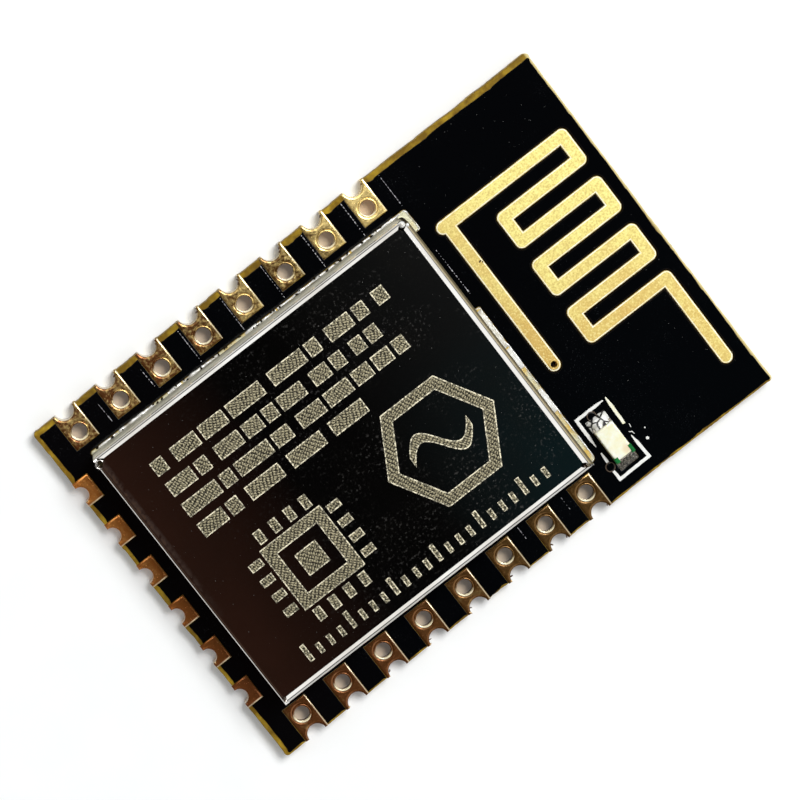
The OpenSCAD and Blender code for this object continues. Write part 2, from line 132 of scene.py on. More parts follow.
class BoardFinish(bpy.types.PropertyGroup):
    """The bare board, its solder mask and the dust on it"""
    laminate: colour(0.19, 0.105, 0.004, "Laminate", "Resin colour of the bare edges")
    fibre: colour(0.45, 0.29, 0.018, "Fibre", "Glass fibres that show in the bare edges")
    mask: colour(0.0011, 0.0013, 0.0018, "Solder mask", "Black film over both faces")
    fray: length(0.045, "Fray", "How far the routed edge wanders")
    mask_fray: length(0.07, "Mask fray", "How far the mask's border wanders")
    ridge_width: length(0.045, "Ridge width", "Width of a track's ridge under the mask")
    dust_count: IntProperty(name="Dust", description="Specks lying on the module", default=280, min=0)


class PadFinish(bpy.types.PropertyGroup):
    """The gilt pads and tracks"""
    bronze: colour(0.14, 0.047, 0.01, "Bronze", "Darker tone of the gilt pads")
    olive: colour(0.115, 0.056, 0.011, "Olive", "Darker tone of the gilt pads towards the antenna")
    gold: colour(0.92, 0.69, 0.26, "Gold", "Lighter tone of the gilt pads")
    copper: colour(0.3, 0.095, 0.024, "Copper", "Darker tone of the pads on the short edge")
    bright_copper: colour(0.8, 0.28, 0.05, "Bright copper", "Lighter tone of the pads on the short edge")
    trace_gold: colour(0.75, 0.66, 0.2, "Antenna gold", "Gilt of the antenna")
    # Painted highlight: cream for the lit edges of the pads and the lit side of the plating in the holes
    painted_highlight: colour(0.84, 0.74, 0.5, "Bright edge", "Plating inside the holes and on the lit edges")
    rim: length(0.085, "Rim", "Rounding of a pad's edges")


class CanFinish(bpy.types.PropertyGroup):
    """The folded shield can and the marks etched on it"""
    sheet: colour(0.62, 0.6, 0.57, "Sheet", "Bright nickel silver sheet")
    thickness: length(0.2, "Thickness", "Thickness of the sheet")
    right_fold: length(0.29, "Right fold", "Outer radius of the fold beside the right row of pads")
    antenna_fold: length(0.37, "Antenna fold", "Outer radius of the fold at the antenna's end")
    left_fold: length(0.2, "Left fold", "Outer radius of the fold beside the left row of pads")
    far_fold: length(0.12, "Far fold", "Outer radius of the fold at the far end")
    notch: length(0.1, "Notch", "Cut at the two plain corners of the lid")
    open_notch: length(0.15, "Open notch", "Cut at the corner with the ball of solder")
    eye_notch: length(0.26, "Eye notch", "Cut at the corner with the round eye")
    etch: colour(0.36, 0.32, 0.2, "Etch", "Frosted tone of the etched marks")
    etch_rim: length(0.045, "Etch rim", "Bright line around an etched mark")
    hatch_pitch: length(0.14, "Hatch pitch", "Spacing of the dots in an etched mark")


class SolderFinish(bpy.types.PropertyGroup):
    """Solder along the can and under the light"""
    tin: colour(0.88, 0.88, 0.85, "Solder", "Bright tin solder")
    bead: length(0.055, "Bead", "Mean radius of the seam's bead")
    line: length(0.022, "Edge line", "Radius of the bright line along the ground strip")


class LightFinish(bpy.types.PropertyGroup):
    """The indicator light and the printed frame round it"""
    lens: colour(0.93, 0.88, 0.58, "Lens", "Cream resin over the light's chip")
    mark: colour(0.002, 0.1, 0.018, "Mark", "Green polarity marks")
    base: colour(0.8, 0.77, 0.62, "Base", "White base of the light")
    ink: colour(0.9, 0.9, 0.88, "Ink", "White printed lines")
    line: length(0.135, "Line", "Width of a printed line")


class StageSetup(bpy.types.PropertyGroup):
    """Floor, lamps and camera"""
    floor: colour(0.9, 0.91, 0.91, "Floor", "Pale paper floor")
    sky: FloatProperty(name="Sky", description="Even light from all round", default=0.45, min=0.0)
    key_power: FloatProperty(name="Key", description="Power of the soft lamp", default=0.68, min=0.0,
                             unit="POWER")
    focal: FloatProperty(name="Lens", description="Focal length in millimetres", default=168.2, min=1.0)


# Meshes


def linked(name, data):
    """An object in the scene that holds a mesh, a lamp or a camera."""
    made = bpy.data.objects.new(name, data)
    bpy.context.scene.collection.objects.link(made)
    return made


def mesh_piece(name, points, faces, indices=None, smooth=None):
    """A piece from points in millimetres, with a material index and a smooth flag for each face."""
    mesh = bpy.data.meshes.new(name)
    mesh.from_pydata(points, [], faces)
    if indices:
        mesh.polygons.foreach_set("material_index", indices)
    mesh.update()
    mesh.set_sharp_from_angle(angle=CREASE)
    mesh.polygons.foreach_set("use_smooth", smooth or [False] * len(faces))
    return linked(name, mesh)


def shaped(name, shape):
    """A piece from a finished bmesh."""
    mesh = bpy.data.meshes.new(name)
    shape.to_mesh(mesh)
    shape.free()
    return linked(name, mesh)


def wire(name, paths, height):
    """A mesh of open paths at one height, to grow something along; a path of one point is a loose point."""
    points, edges = [], []
    for path in paths:
        edges += [(len(points) + i, len(points) + i + 1) for i in range(len(path) - 1)]
        points += [(x, y, height) for x, y in path]
    mesh = bpy.data.meshes.new(name)
    mesh.from_pydata(points, edges, [])
    return linked(name, mesh)


def arc(x, y, radius, start, sweep, steps):
    """Points on an arc, by angles in degrees; a left turn is positive."""
    angles = [math.radians(start + sweep * i / steps) for i in range(steps + 1)]
    return [(x + radius * math.cos(a), y + radius * math.sin(a)) for a in angles]


def ring(x, y, radius, steps=48):
    return arc(x, y, radius, 0, 360, steps)[:-1]


def hole(loop):
    """The same outline turned round, so that its solid side is outside."""
    return loop[::-1]


def rectangle(x0, y0, x1, y1):
    return [(x0, y0), (x1, y0), (x1, y1), (x0, y1)]


def inset(loop, depth):
    """A closed outline moved to its solid side, which is on its left, with mitred corners."""
    moved = []
    for i, (x, y) in enumerate(loop):
        before = (Vector((x, y)) - Vector(loop[i - 1])).normalized()
        after = (Vector(loop[(i + 1) % len(loop)]) - Vector((x, y))).normalized()
        normal = Vector((-before.y - after.y, before.x + after.x))
        stretch = 2 / max(normal.length_squared, 1.0)
        moved.append((x + normal.x * stretch * depth, y + normal.y * stretch * depth))
    return moved


def rounded(low, high, rim, steps=3):
    """Profile of a sheet's edge from its underside to its top: inset and height, both rims rounded."""
    return hole(arc(rim, low + rim, rim, 180, 90, steps)) + arc(rim, high - rim, rim, 180, -90, steps)


def sheet(name, loops, profile, rim=False):
    """A flat piece: closed outlines carried up a profile of insets and heights, and filled at both ends.

    With a rim, the last step of the profile takes the second material.
    """
    points, faces, indices, smooth, starts = [], [], [], [], []
    last = len(profile) - 1
    for loop in loops:
        count = len(loop)
        starts.append(len(points))
        for depth, height in profile:
            points += [(x, y, height) for x, y in inset(loop, depth)]
        for row in range(last):
            a = starts[-1] + row * count
            on_rim = rim and row == last - 1
            for i in range(count):
                j = (i + 1) % count
                faces.append((a + i, a + j, a + count + j, a + count + i))
            indices += [int(on_rim)] * count
            smooth += [not on_rim] * count
    for row, upward in ((0, False), (last, True)):
        borders = [[start + row * len(loop) + i for i in range(len(loop))]
                   for start, loop in zip(starts, loops)]
        places = sum(borders, [])
        for triangle in tessellate_polygon([[Vector(points[i]) for i in border] for border in borders]):
            a, b, c = (places[i] for i in triangle)
            pa, pb, pc = (Vector(points[i]) for i in (a, b, c))
            turn = (pb - pa).cross(pc - pa).z
            if turn:
                faces.append((a, b, c) if (turn > 0) == upward else (a, c, b))
                indices.append(0)
                smooth.append(False)
    return mesh_piece(name, points, faces, indices, smooth)


def pebble(name, radius, stretch, levels, smooth=True, at=(0, 0, 0)):
    """A small round body, stretched along the axes."""
    shape = bmesh.new()
    bmesh.ops.create_icosphere(shape, subdivisions=levels, radius=radius)
    bmesh.ops.scale(shape, vec=stretch, verts=shape.verts)
    bmesh.ops.translate(shape, vec=at, verts=shape.verts)
    for face in shape.faces:
        face.smooth = smooth
    return shaped(name, shape)


def join(name, pieces):
    """One mesh from several, materials as the pieces list them."""
    whole = bmesh.new()
    for piece in pieces:
        whole.from_mesh(piece.data)
        discard(piece)
    return shaped(name, whole)


def discard(piece):
    mesh = piece.data
    bpy.data.objects.remove(piece)
    bpy.data.meshes.remove(mesh)


def modified(piece):
    """The mesh that a piece's modifiers make of it, which replaces the piece."""
    shown = piece.evaluated_get(bpy.context.evaluated_depsgraph_get())
    mesh = bpy.data.meshes.new_from_object(shown)
    discard(piece)
    return mesh


def marked(piece, name, value):
    """Give every point of a mesh one value that its finish reads."""
    layer = piece.data.attributes.new(name, "FLOAT", "POINT")
    layer.data.foreach_set("value", [value] * len(piece.data.vertices))
    return piece


def painted(piece, index):
    """Give every face of a mesh the same one of its materials."""
    piece.data.polygons.foreach_set("material_index", [index] * len(piece.data.polygons))
    return piece


def place(piece, slot, materials, *replaced):
    """Bring a finished mesh to metres, dress it and set it on the board."""
    piece.data.transform(Matrix.Scale(MM, 4))
    for material in materials:
        piece.data.materials.append(material)
    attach(piece, ROOT)
    if replaced:
        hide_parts(*replaced)


def dress(material, *nodes):
    """Give nodes of the frame a finish and keep their shape."""
    for node in nodes:
        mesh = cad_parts[node].data
        mesh.materials.clear()
        mesh.materials.append(material)


# Node trees


class Signal:
    """What a node puts out; it takes arithmetic like a number."""

    def __init__(self, nodes, node, output=0):
        self.nodes = nodes
        self.node = node
        self.socket = node.outputs[output]

    def __getitem__(self, output):
        return Signal(self.nodes, self.node, output)

    def __add__(self, other):
        return self.math("ADD", self, other)

    def __sub__(self, other):
        return self.math("SUBTRACT", self, other)

    def __rsub__(self, other):
        return self.math("SUBTRACT", other, self)

    def __mul__(self, other):
        return self.math("MULTIPLY", self, other)

    __radd__ = __add__

    def math(self, operation, *values):
        return self.nodes.add("ShaderNodeMath", *values, operation=operation)

    def larger(self, other):
        return self.math("MAXIMUM", self, other)

    def fraction(self):
        return self.math("FRACT", self)

    def magnitude(self):
        return self.math("ABSOLUTE", self)

    def ramp(self, low, high, to_low=0.0, to_high=1.0):
        """Carry the range from low to high over to another one, and stop at its ends."""
        return self.nodes.add("ShaderNodeMapRange", self, low, high, to_low, to_high)


class Nodes:
    """A node tree and the ways to add to it."""

    def __init__(self, tree):
        self.tree = tree

    def add(self, kind, *values, **named):
        """Add a node: values fill its sockets in turn, lower-case names are settings, others sockets."""
        node = self.tree.nodes.new(kind)
        for key in [key for key in named if key.islower()]:
            setattr(node, key, named.pop(key))
        sockets = node.inputs[:len(values)] + [node.inputs[key.replace("_", " ")] for key in named]
        for socket, value in zip(sockets, (*values, *named.values())):
            self.feed(socket, value)
        return Signal(self, node)

    def feed(self, socket, value):
        if isinstance(value, Signal):
            self.tree.links.new(value.socket, socket)
        else:
            socket.default_value = value

    def mix(self, factor, first, second):
        """A colour between two, each a signal or red, green and blue."""
        node = self.add("ShaderNodeMix", factor, data_type="RGBA").node
        for socket, value in zip(node.inputs[6:8], (first, second)):
            self.feed(socket, value if isinstance(value, Signal) else (*value, 1))
        return Signal(self, node, 2)


class Tree(Nodes):
    """A geometry node tree with named inputs, which it gives by name."""

    def __init__(self, name, **inputs):
        super().__init__(bpy.data.node_groups.new(name, "GeometryNodeTree"))
        make_socket = self.tree.interface.new_socket
        make_socket("Geometry", in_out="OUTPUT", socket_type="NodeSocketGeometry")
        for key, kind in {"Geometry": "Geometry", **inputs, "Finish": "Material"}.items():
            make_socket(key, in_out="INPUT", socket_type="NodeSocket" + kind)
        self.entry = self.tree.nodes.new("NodeGroupInput")

    def __getitem__(self, name):
        return Signal(self, self.entry, name)

    def random(self, low, high, seed):
        """A random value with a fixed seed, or a vector where its limits are vectors."""
        kind = "FLOAT_VECTOR" if isinstance(low, tuple) else "FLOAT"
        node = self.add("FunctionNodeRandomValue", data_type=kind, Seed=seed).node
        for socket, limit in zip([s for s in node.inputs if s.enabled], (low, high)):
            socket.default_value = limit
        return Signal(self, node, [s.enabled for s in node.outputs].index(True))

    def copies(self, points, item, **turns):
        """A copy of an input's object on each point."""
        shape = self.add("GeometryNodeObjectInfo", self[item])["Geometry"]
        return self.add("GeometryNodeInstanceOnPoints", points, Instance=shape, **turns)

    def finish(self, geometry):
        whole = self.add("GeometryNodeRealizeInstances", geometry)
        dressed = self.add("GeometryNodeSetMaterial", whole, Material=self["Finish"])
        self.feed(self.tree.nodes.new("NodeGroupOutput").inputs[0], dressed)
        return self

    def grow(self, name, base, **values):
        """Run the tree on a base mesh and keep the result as a plain mesh."""
        modifier = base.modifiers.new(name, "NODES")
        modifier.node_group = self.tree
        names = {s.name: s.identifier for s in self.tree.interface.items_tree if s.in_out == "INPUT"}
        for key, value in values.items():
            modifier[names[key]] = value
        mesh = modified(base)
        if not mesh.polygons:
            raise RuntimeError(f"{name} came out empty")
        mesh.name = name
        return linked(name, mesh)


def pad_row_tree():
    """Copies of one pad along a row, each with its own tone."""
    tree = Tree("pad_row", Pad="Object", Count="Int", First="Vector", Step="Vector", Turn="Float")
    row = tree.add("GeometryNodeMeshLine", mode="OFFSET", Count=tree["Count"], Start_Location=tree["First"],
                   Offset=tree["Step"])
    pads = tree.copies(row, "Pad", Rotation=tree.add("ShaderNodeCombineXYZ", Z=tree["Turn"]))
    return tree.finish(tree.add("GeometryNodeStoreNamedAttribute", pads, data_type="FLOAT", domain="INSTANCE",
                                Name="tone", Value=tree.random(0.0, 1.0, seed=7)))


def bead_tree():
    """Small beads in uneven sizes along the edges of a base mesh."""
    tree = Tree("bead_line", Bead="Object", Gap="Float")
    path = tree.add("GeometryNodeMeshToCurve", tree["Geometry"])
    points = tree.add("GeometryNodeCurveToPoints", path, mode="LENGTH", Length=tree["Gap"])
    size = tree.random((0.4, 0.4, 0.1), (1.1, 1.6, 1.2), seed=3)
    return tree.finish(tree.copies(points, "Bead", Rotation=points["Rotation"], Scale=size))


def seam_tree():
    """An uneven bead of solder along the edges of a base mesh."""
    tree = Tree("solder_seam", Radius="Float", Grain="Float", Lump="Float")
    path = tree.add("GeometryNodeMeshToCurve", tree["Geometry"])
    fine = tree.add("GeometryNodeResampleCurve", path, mode="LENGTH", Length=0.06)
    swell = tree.add("ShaderNodeTexNoise", Scale=tree["Grain"], Detail=3.0)
    thick = swell.ramp(0.35, 0.65, 1.0 - tree["Lump"], 1.0 + tree["Lump"]) * tree["Radius"]
    section = tree.add("GeometryNodeCurvePrimitiveCircle", Resolution=12, Radius=1.0)
    tube = tree.add("GeometryNodeCurveToMesh", fine, Profile_Curve=section, Fill_Caps=True, Scale=thick)
    spread = tree.add("ShaderNodeTexNoise", Scale=9.0, Detail=4.0)["Color"]
    centred = tree.add("ShaderNodeVectorMath", spread, (0.5, 0.5, 0.5), operation="SUBTRACT")
    wobble = tree.add("ShaderNodeVectorMath", centred, operation="SCALE", Scale=0.07)
    rough = tree.add("GeometryNodeSetPosition", tube, Offset=wobble)
    return tree.finish(tree.add("GeometryNodeSetShadeSmooth", rough))


def burr_tree():
    """A scrap at each point of a base mesh, turned and scaled at random."""
    tree = Tree("burr_scatter", Scrap="Object")
    turn = tree.random((-0.5, -0.5, 0.0), (0.5, 0.5, math.tau), seed=8)
    size = tree.random((0.7, 0.7, 0.7), (1.4, 1.4, 1.4), seed=4)
    return tree.finish(tree.copies(tree["Geometry"], "Scrap", Rotation=turn, Scale=size))


def scatter_tree():
    """Specks scattered over a base mesh."""
    tree = Tree("dust_scatter", Speck="Object", Density="Float")
    points = tree.add("GeometryNodeDistributePointsOnFaces", tree["Geometry"], Density=tree["Density"],
                      Seed=11)
    turn = tree.random((0.0, 0.0, 0.0), (0.4, 0.4, math.tau), seed=5)
    return tree.finish(tree.copies(points, "Speck", Rotation=turn, Scale=tree.random(0.25, 1.0, seed=6)))


# Finishes


class Finish(Nodes):
    """A procedural material on the object's own coordinates, in millimetres."""

    def __init__(self, name, base, metallic=0.0, roughness=0.5, shine=0.5):
        self.material = bpy.data.materials.new(name)
        self.material.use_nodes = True
        super().__init__(self.material.node_tree)
        self.shader = self.tree.nodes["Principled BSDF"]
        self.set(Base_Color=(*base, 1), Metallic=metallic, Roughness=roughness, Specular_IOR_Level=shine)
        metres = self.add("ShaderNodeTexCoord")["Object"]
        self.coords = self.add("ShaderNodeVectorMath", metres, operation="SCALE", Scale=1 / MM)

    def axes(self):
        spot = self.add("ShaderNodeSeparateXYZ", self.coords)
        return spot["X"], spot["Y"], spot["Z"]

    def noise(self, size, detail=3.0, stretch=(1, 1, 1)):
        """Noise whose features are about a size across, stretched along the axes."""
        scale = [1 / (size * s) for s in stretch]
        scaled = self.add("ShaderNodeVectorMath", self.coords, scale, operation="MULTIPLY")
        return self.add("ShaderNodeTexNoise", Vector=scaled, Scale=1.0, Detail=detail, Roughness=0.55)

    def attribute(self, name):
        return self.add("ShaderNodeAttribute", attribute_name=name)["Fac"]

    def set(self, **sockets):
        for key, value in sockets.items():
            self.feed(self.shader.inputs[key.replace("_", " ")], value)

    def bump(self, height, depth):
        """Raise the surface by up to a depth in millimetres, and give the finished material."""
        self.set(Normal=self.add("ShaderNodeBump", Height=height, Strength=1.0, Distance=depth * MM))
        return self.material

    def surface(self, shader):
        """Let another shader make the surface."""
        self.feed(self.tree.nodes["Material Output"].inputs["Surface"], shader)


def pad_gilt_finish(pads):
    """Thin gold over copper, scuffed; painted light turns the left row golder towards the lamp's side, within
    each pad and along the row, and paints highlights on the lit edges and plating.
    """
    finish = Finish("gilt_pad", pads.gold)
    x, y, _ = finish.axes()
    # Places on a pad as shares of the pitch, and round a hole as shares of a millimetre
    across = (x * (1 / PITCH) + 5.75).fraction()
    down = (y * (1 / PITCH)).fraction()
    lit = (x.fraction() - 0.5) * 0.6 + ((y + 0.5).fraction() - 0.5) * 0.8
    on_left = y.ramp(-1, 1)
    on_end = x.ramp(-11.2, -11.4)
    # Painted light for the left row: each pad golder towards its lit side and the row golder towards the
    # antenna, over random patches
    left = across * 0.2 + finish.noise(0.14).ramp(0.3, 0.7, -0.2, 0.2)
    left = left + x.ramp(-11, 0, 0.04, 0.13) + x.ramp(0, 3.5, 0.0, 0.42)
    # Random tones of the gilt, with the left row's painted light added
    gilding_and_painted_light = finish.noise(0.35, 4.0) * 0.5 + finish.attribute("tone") * 0.1 + 0.115 + on_left * left
    bronze = finish.mix(x.ramp(-7, 0), pads.bronze, pads.olive)
    tint = finish.mix(gilding_and_painted_light.ramp(0.48, 1.0), bronze, pads.gold)
    copper = finish.mix(y.ramp(-4, 5.5), pads.copper, pads.bright_copper)
    face = finish.mix(on_end * 0.8, tint, copper)
    # Painted highlights: a cream line on each side pad's lit edge and on the edge of each end pad that faces
    # the right row
    side_highlight = across.ramp(0.742, 0.757) * (1.0 - on_end)
    end_highlight = down.ramp(0.265, 0.245) * on_end
    lip = (side_highlight + end_highlight) * y.ramp(-7, -6, 0.5, 0.75)
    # Painted highlight on the plating inside the holes, only on the side that faces the light; all painted
    # highlights are then gathered in one mask
    plated = finish.attribute("painted_highlight") * lit.ramp(0.0, -0.22)
    pale = lip.larger(plated)
    scuffs = finish.noise(0.07, 2.0)
    finish.set(Base_Color=finish.mix(pale, face, pads.painted_highlight), Metallic=pale.ramp(0.0, 1.0, 0.68, 0.15),
               Roughness=scuffs.ramp(0.3, 0.7, 0.16, 0.28))
    return finish.bump(scuffs, 0.004)


def trace_finish(pads):
    """Matt gold over etched copper, grainy, warmer towards the light's end of the board."""
    amber, pit, glint = (0.58, 0.38, 0.085), (0.5, 0.34, 0.08), (0.88, 0.77, 0.33)
    finish = Finish("gilt_trace", pads.trace_gold, metallic=0.25)
    x, y, _ = finish.axes()
    warmth = y.ramp(1.5, -2.5, 0.0, 0.85) + x.ramp(6.5, 5.5, 0.0, 0.55) - x.ramp(10, 11, 0.0, 0.3)
    warmth = warmth + finish.noise(0.6).ramp(0.35, 0.65, -0.18, 0.18)
    tint = finish.mix(warmth.ramp(0.0, 1.0), pads.trace_gold, amber)
    pits = finish.noise(0.07, 2.0)
    grain = finish.mix(pits.ramp(0.5, 0.62, 0.0, 0.6), tint, pit)
    finish.set(Base_Color=finish.mix(pits.ramp(0.44, 0.36, 0.0, 0.5), grain, glint),
               Roughness=pits.ramp(0.3, 0.7, 0.38, 0.55))
    return finish.bump(pits, 0.006)


def laminate_finish(board):
    """Glass fibre in brown resin, its strands showing along the routed edges, paler at the antenna's end."""
    worn_brown, pale_end = (0.1, 0.055, 0.003), (0.72, 0.6, 0.28)
    finish = Finish("bare_laminate", board.laminate, roughness=0.55, shine=0.12)
    strands = finish.noise(0.12, stretch=(4, 4, 0.4))
    streak = finish.mix(strands.ramp(0.42, 0.68), board.laminate, board.fibre)
    worn = finish.mix(finish.noise(0.9).ramp(0.4, 0.8), streak, worn_brown)
    at_end = finish.axes()[0].ramp(BOARD_HIGH.x - 0.16, BOARD_HIGH.x - 0.06)
    finish.set(Base_Color=finish.mix(at_end, worn, pale_end))
    return finish.bump(strands, 0.02)


def mask_finish(board):
    """Black film, glossy, with a faint ripple and greyer dusty patches."""
    finish = Finish("solder_mask_film", board.mask, shine=0.35)
    patches = finish.noise(2.5)
    dusty = finish.noise(0.05, 2.0).ramp(0.66, 0.76) * patches.ramp(0.45, 0.65)
    finish.set(Base_Color=finish.mix(dusty, board.mask, (0.03, 0.032, 0.034)),
               Roughness=patches.ramp(0.3, 0.7, 0.03, 0.08))
    return finish.bump(finish.noise(0.7, 2.0), 0.004)


def sheet_finish(can):
    """Bright rolled sheet, close to a mirror: rolling lines, pits, smears, and rust along the far fold."""
    grease, rust_brown, pit_grey = (0.5, 0.47, 0.43), (0.5, 0.29, 0.16), (0.75, 0.74, 0.7)
    finish = Finish("nickel_silver_sheet", can.sheet)
    x, y, z = finish.axes()
    smears = finish.noise(1.8, 4.0)
    pits = finish.noise(0.06, 1.0).ramp(0.74, 0.82)
    tint = finish.mix(smears.ramp(0.35, 0.7), can.sheet, grease)
    flat = z.ramp(CAN_HIGH.z - 0.012, CAN_HIGH.z - 0.004)
    patches = finish.noise(2.2, 2.0).ramp(0.42, 0.6) * x.ramp(-9, -1)
    smudge = finish.noise(0.13).ramp(0.58, 0.72) * patches * flat
    band = x.ramp(CAN_LOW.x + 0.13, CAN_LOW.x + 0.17) * x.ramp(CAN_LOW.x + 0.38, CAN_LOW.x + 0.2)
    rust = finish.noise(0.25).ramp(0.35, 0.6) * y.ramp(-2, 3) * band * flat
    warm = finish.mix(rust, tint, rust_brown)
    # A thin film scatters a small share of the light and leaves the metal's own colour
    finish.set(Base_Color=finish.mix(pits, warm, pit_grey),
               Metallic=smudge.larger(rust).ramp(0.0, 1.0, 1.0, 0.91),
               Roughness=smears.ramp(0.3, 0.75, 0.03, 0.08) + pits * 0.2)
    return finish.bump(finish.noise(0.05, 2.0, (30, 1, 1)), 0.0006)


def strip_finish():
    """The strip under the can: gold that flux has left pale and greenish in places."""
    gold, pale, pit = (0.58, 0.4, 0.09), (0.6, 0.58, 0.4), (0.16, 0.13, 0.05)
    finish = Finish("ground_strip_gilt", gold, metallic=0.4, roughness=0.4)
    grain = finish.noise(0.07, 2.0)
    tint = finish.mix(finish.noise(0.8).ramp(0.42, 0.58), gold, pale)
    finish.set(Base_Color=finish.mix(grain.ramp(0.6, 0.72, 0.0, 0.7), tint, pit))
    return finish.bump(grain, 0.01)


def wall_finish():
    """The can's walls: duller than the lid, drawn into level streaks and darker in patches towards the foot; at
    the antenna's end the fold turns from tan to painted shade.
    """
    dull, light, flux = (0.5, 0.47, 0.37), (0.8, 0.78, 0.66), (0.2, 0.18, 0.12)
    bend, shade = (0.4, 0.33, 0.2), (0.12, 0.1, 0.06)
    finish = Finish("drawn_wall", dull, metallic=0.1, shine=0.05)
    x, _, z = finish.axes()
    streaks = finish.noise(0.09, stretch=(14, 14, 1))
    drawn = finish.mix(streaks.ramp(0.35, 0.65), dull, light)
    # Darker colour in noisy patches towards the foot
    dark_patches = z.ramp(CAN_HIGH.z - 0.6, CAN_LOW.z + 0.1) * finish.noise(0.9).ramp(0.3, 0.7)
    antenna_end = x.ramp(CAN_HIGH.x - 0.3, CAN_HIGH.x - 0.1)
    # Painted shade: at the antenna's end the fold goes from tan to dark further down
    bent = finish.mix(z.ramp(CAN_HIGH.z - 0.11, CAN_HIGH.z - 0.17), bend, shade)
    finish.set(Base_Color=finish.mix(antenna_end, finish.mix(dark_patches, drawn, flux), bent))
    return finish.bump(streaks, 0.01)


def etch_finish(can):
    """Frosted metal: slanted rows of dots burnt into the sheet, uneven and speckled."""
    finish = Finish("etched_frost", can.etch, metallic=0.7)
    turned = finish.add("ShaderNodeVectorRotate", rotation_type="Z_AXIS", Vector=finish.coords,
                        Angle=finish.attribute("slant"))
    # A wave texture of scale 1 repeats every tau / 20
    once = math.tau / 20 / (can.hatch_pitch / MM)
    rows, dots = [finish.add("ShaderNodeTexWave", wave_profile="SIN", bands_direction=way, Vector=turned,
                             Scale=once / pitch, Distortion=2.0, Detail=1.0, Detail_Scale=1.5)["Fac"]
                  for way, pitch in (("X", 1.0), ("Y", 0.7))]
    burnt = (rows * dots * 0.5 + finish.noise(0.065, 1.0)).ramp(0.45, 0.95)
    finish.set(Base_Color=finish.mix(burnt, (0.03, 0.027, 0.018), can.etch),
               Roughness=burnt.ramp(0.0, 1.0, 0.3, 0.65))
    return finish.bump(burnt, 0.01)


def etch_rim_finish(can):
    """The brighter dotted line that borders an etched mark."""
    dark, light = (0.12, 0.11, 0.075), (0.78, 0.72, 0.53)
    finish = Finish("etched_rim", can.etch, metallic=0.6, roughness=0.55)
    dots = finish.noise(0.09, 2.0)
    finish.set(Base_Color=finish.mix(dots.ramp(0.42, 0.58), dark, light))
    return finish.bump(dots, 0.01)


def solder_finish(solder):
    """Bright solder, puckered, with dull flux-stained patches."""
    finish = Finish("tin_solder", solder.tin, metallic=0.4)
    dark_patches = finish.noise(0.5)
    finish.set(Base_Color=finish.mix(dark_patches.ramp(0.5, 0.72), solder.tin, (0.4, 0.36, 0.27)),
               Roughness=dark_patches.ramp(0.35, 0.7, 0.14, 0.4))
    return finish.bump(finish.noise(0.12), 0.02)


def crumpled_finish(name, size, light, shade):
    """Solder that froze in facets about a size across, with dark cracks between them."""
    finish = Finish(name, light, roughness=0.4)
    scaled = finish.add("ShaderNodeVectorMath", finish.coords, operation="SCALE", Scale=1 / size)
    cells = finish.add("ShaderNodeTexVoronoi", feature="DISTANCE_TO_EDGE", voronoi_dimensions="4D",
                       Vector=scaled, W=2.6, Scale=1.0)
    facets = finish.mix(finish.noise(size * 0.7, 2.0).ramp(0.4, 0.6), light, shade)
    finish.set(Base_Color=finish.mix(cells.ramp(0.09, 0.045), facets, (0.012, 0.011, 0.01)))
    return finish.bump(cells, 0.015)


def plain_finish(name, base, second, patch, roughness, depth=0.004, metallic=0.0, shine=0.5):
    """Moulded, fired or tinned stuff: two tones in patches about so wide over a fine grain."""
    finish = Finish(name, base, metallic, shine=shine)
    grain = finish.noise(patch / 6, 2.0)
    finish.set(Base_Color=finish.mix(finish.noise(patch).ramp(0.35, 0.65), base, second),
               Roughness=grain.ramp(0.3, 0.7, roughness * 0.8, min(1.0, roughness * 1.25)))
    return finish.bump(grain, depth)


def lens_finish(light):
    """Cloudy cream resin that light sinks into, darker over the chip."""
    cloud, chip = (0.99, 0.98, 0.84), (0.9, 0.76, 0.52)
    finish = Finish("cream_resin", light.lens, roughness=0.22)
    resin = finish.mix(finish.noise(0.45).ramp(0.35, 0.65), light.lens, cloud)
    chip_at = Vector((LED_HIGH.x - 0.2, LED_LOW.y + 0.3, LED_HIGH.z))
    away = finish.add("ShaderNodeVectorMath", finish.coords, chip_at, operation="DISTANCE")["Value"]
    finish.set(Base_Color=finish.mix(away.ramp(0.26, 0.1), resin, chip), Subsurface_Weight=0.35,
               Subsurface_Radius=(0.3 * MM, 0.26 * MM, 0.14 * MM), Subsurface_Scale=1.0)
    return finish.bump(finish.noise(0.2, 2.0), 0.004)


# Pieces


class ModuleOperator:
    bl_options = {"REGISTER"}

    def execute(self, context):
        self.make(context.scene)
        return {"FINISHED"}


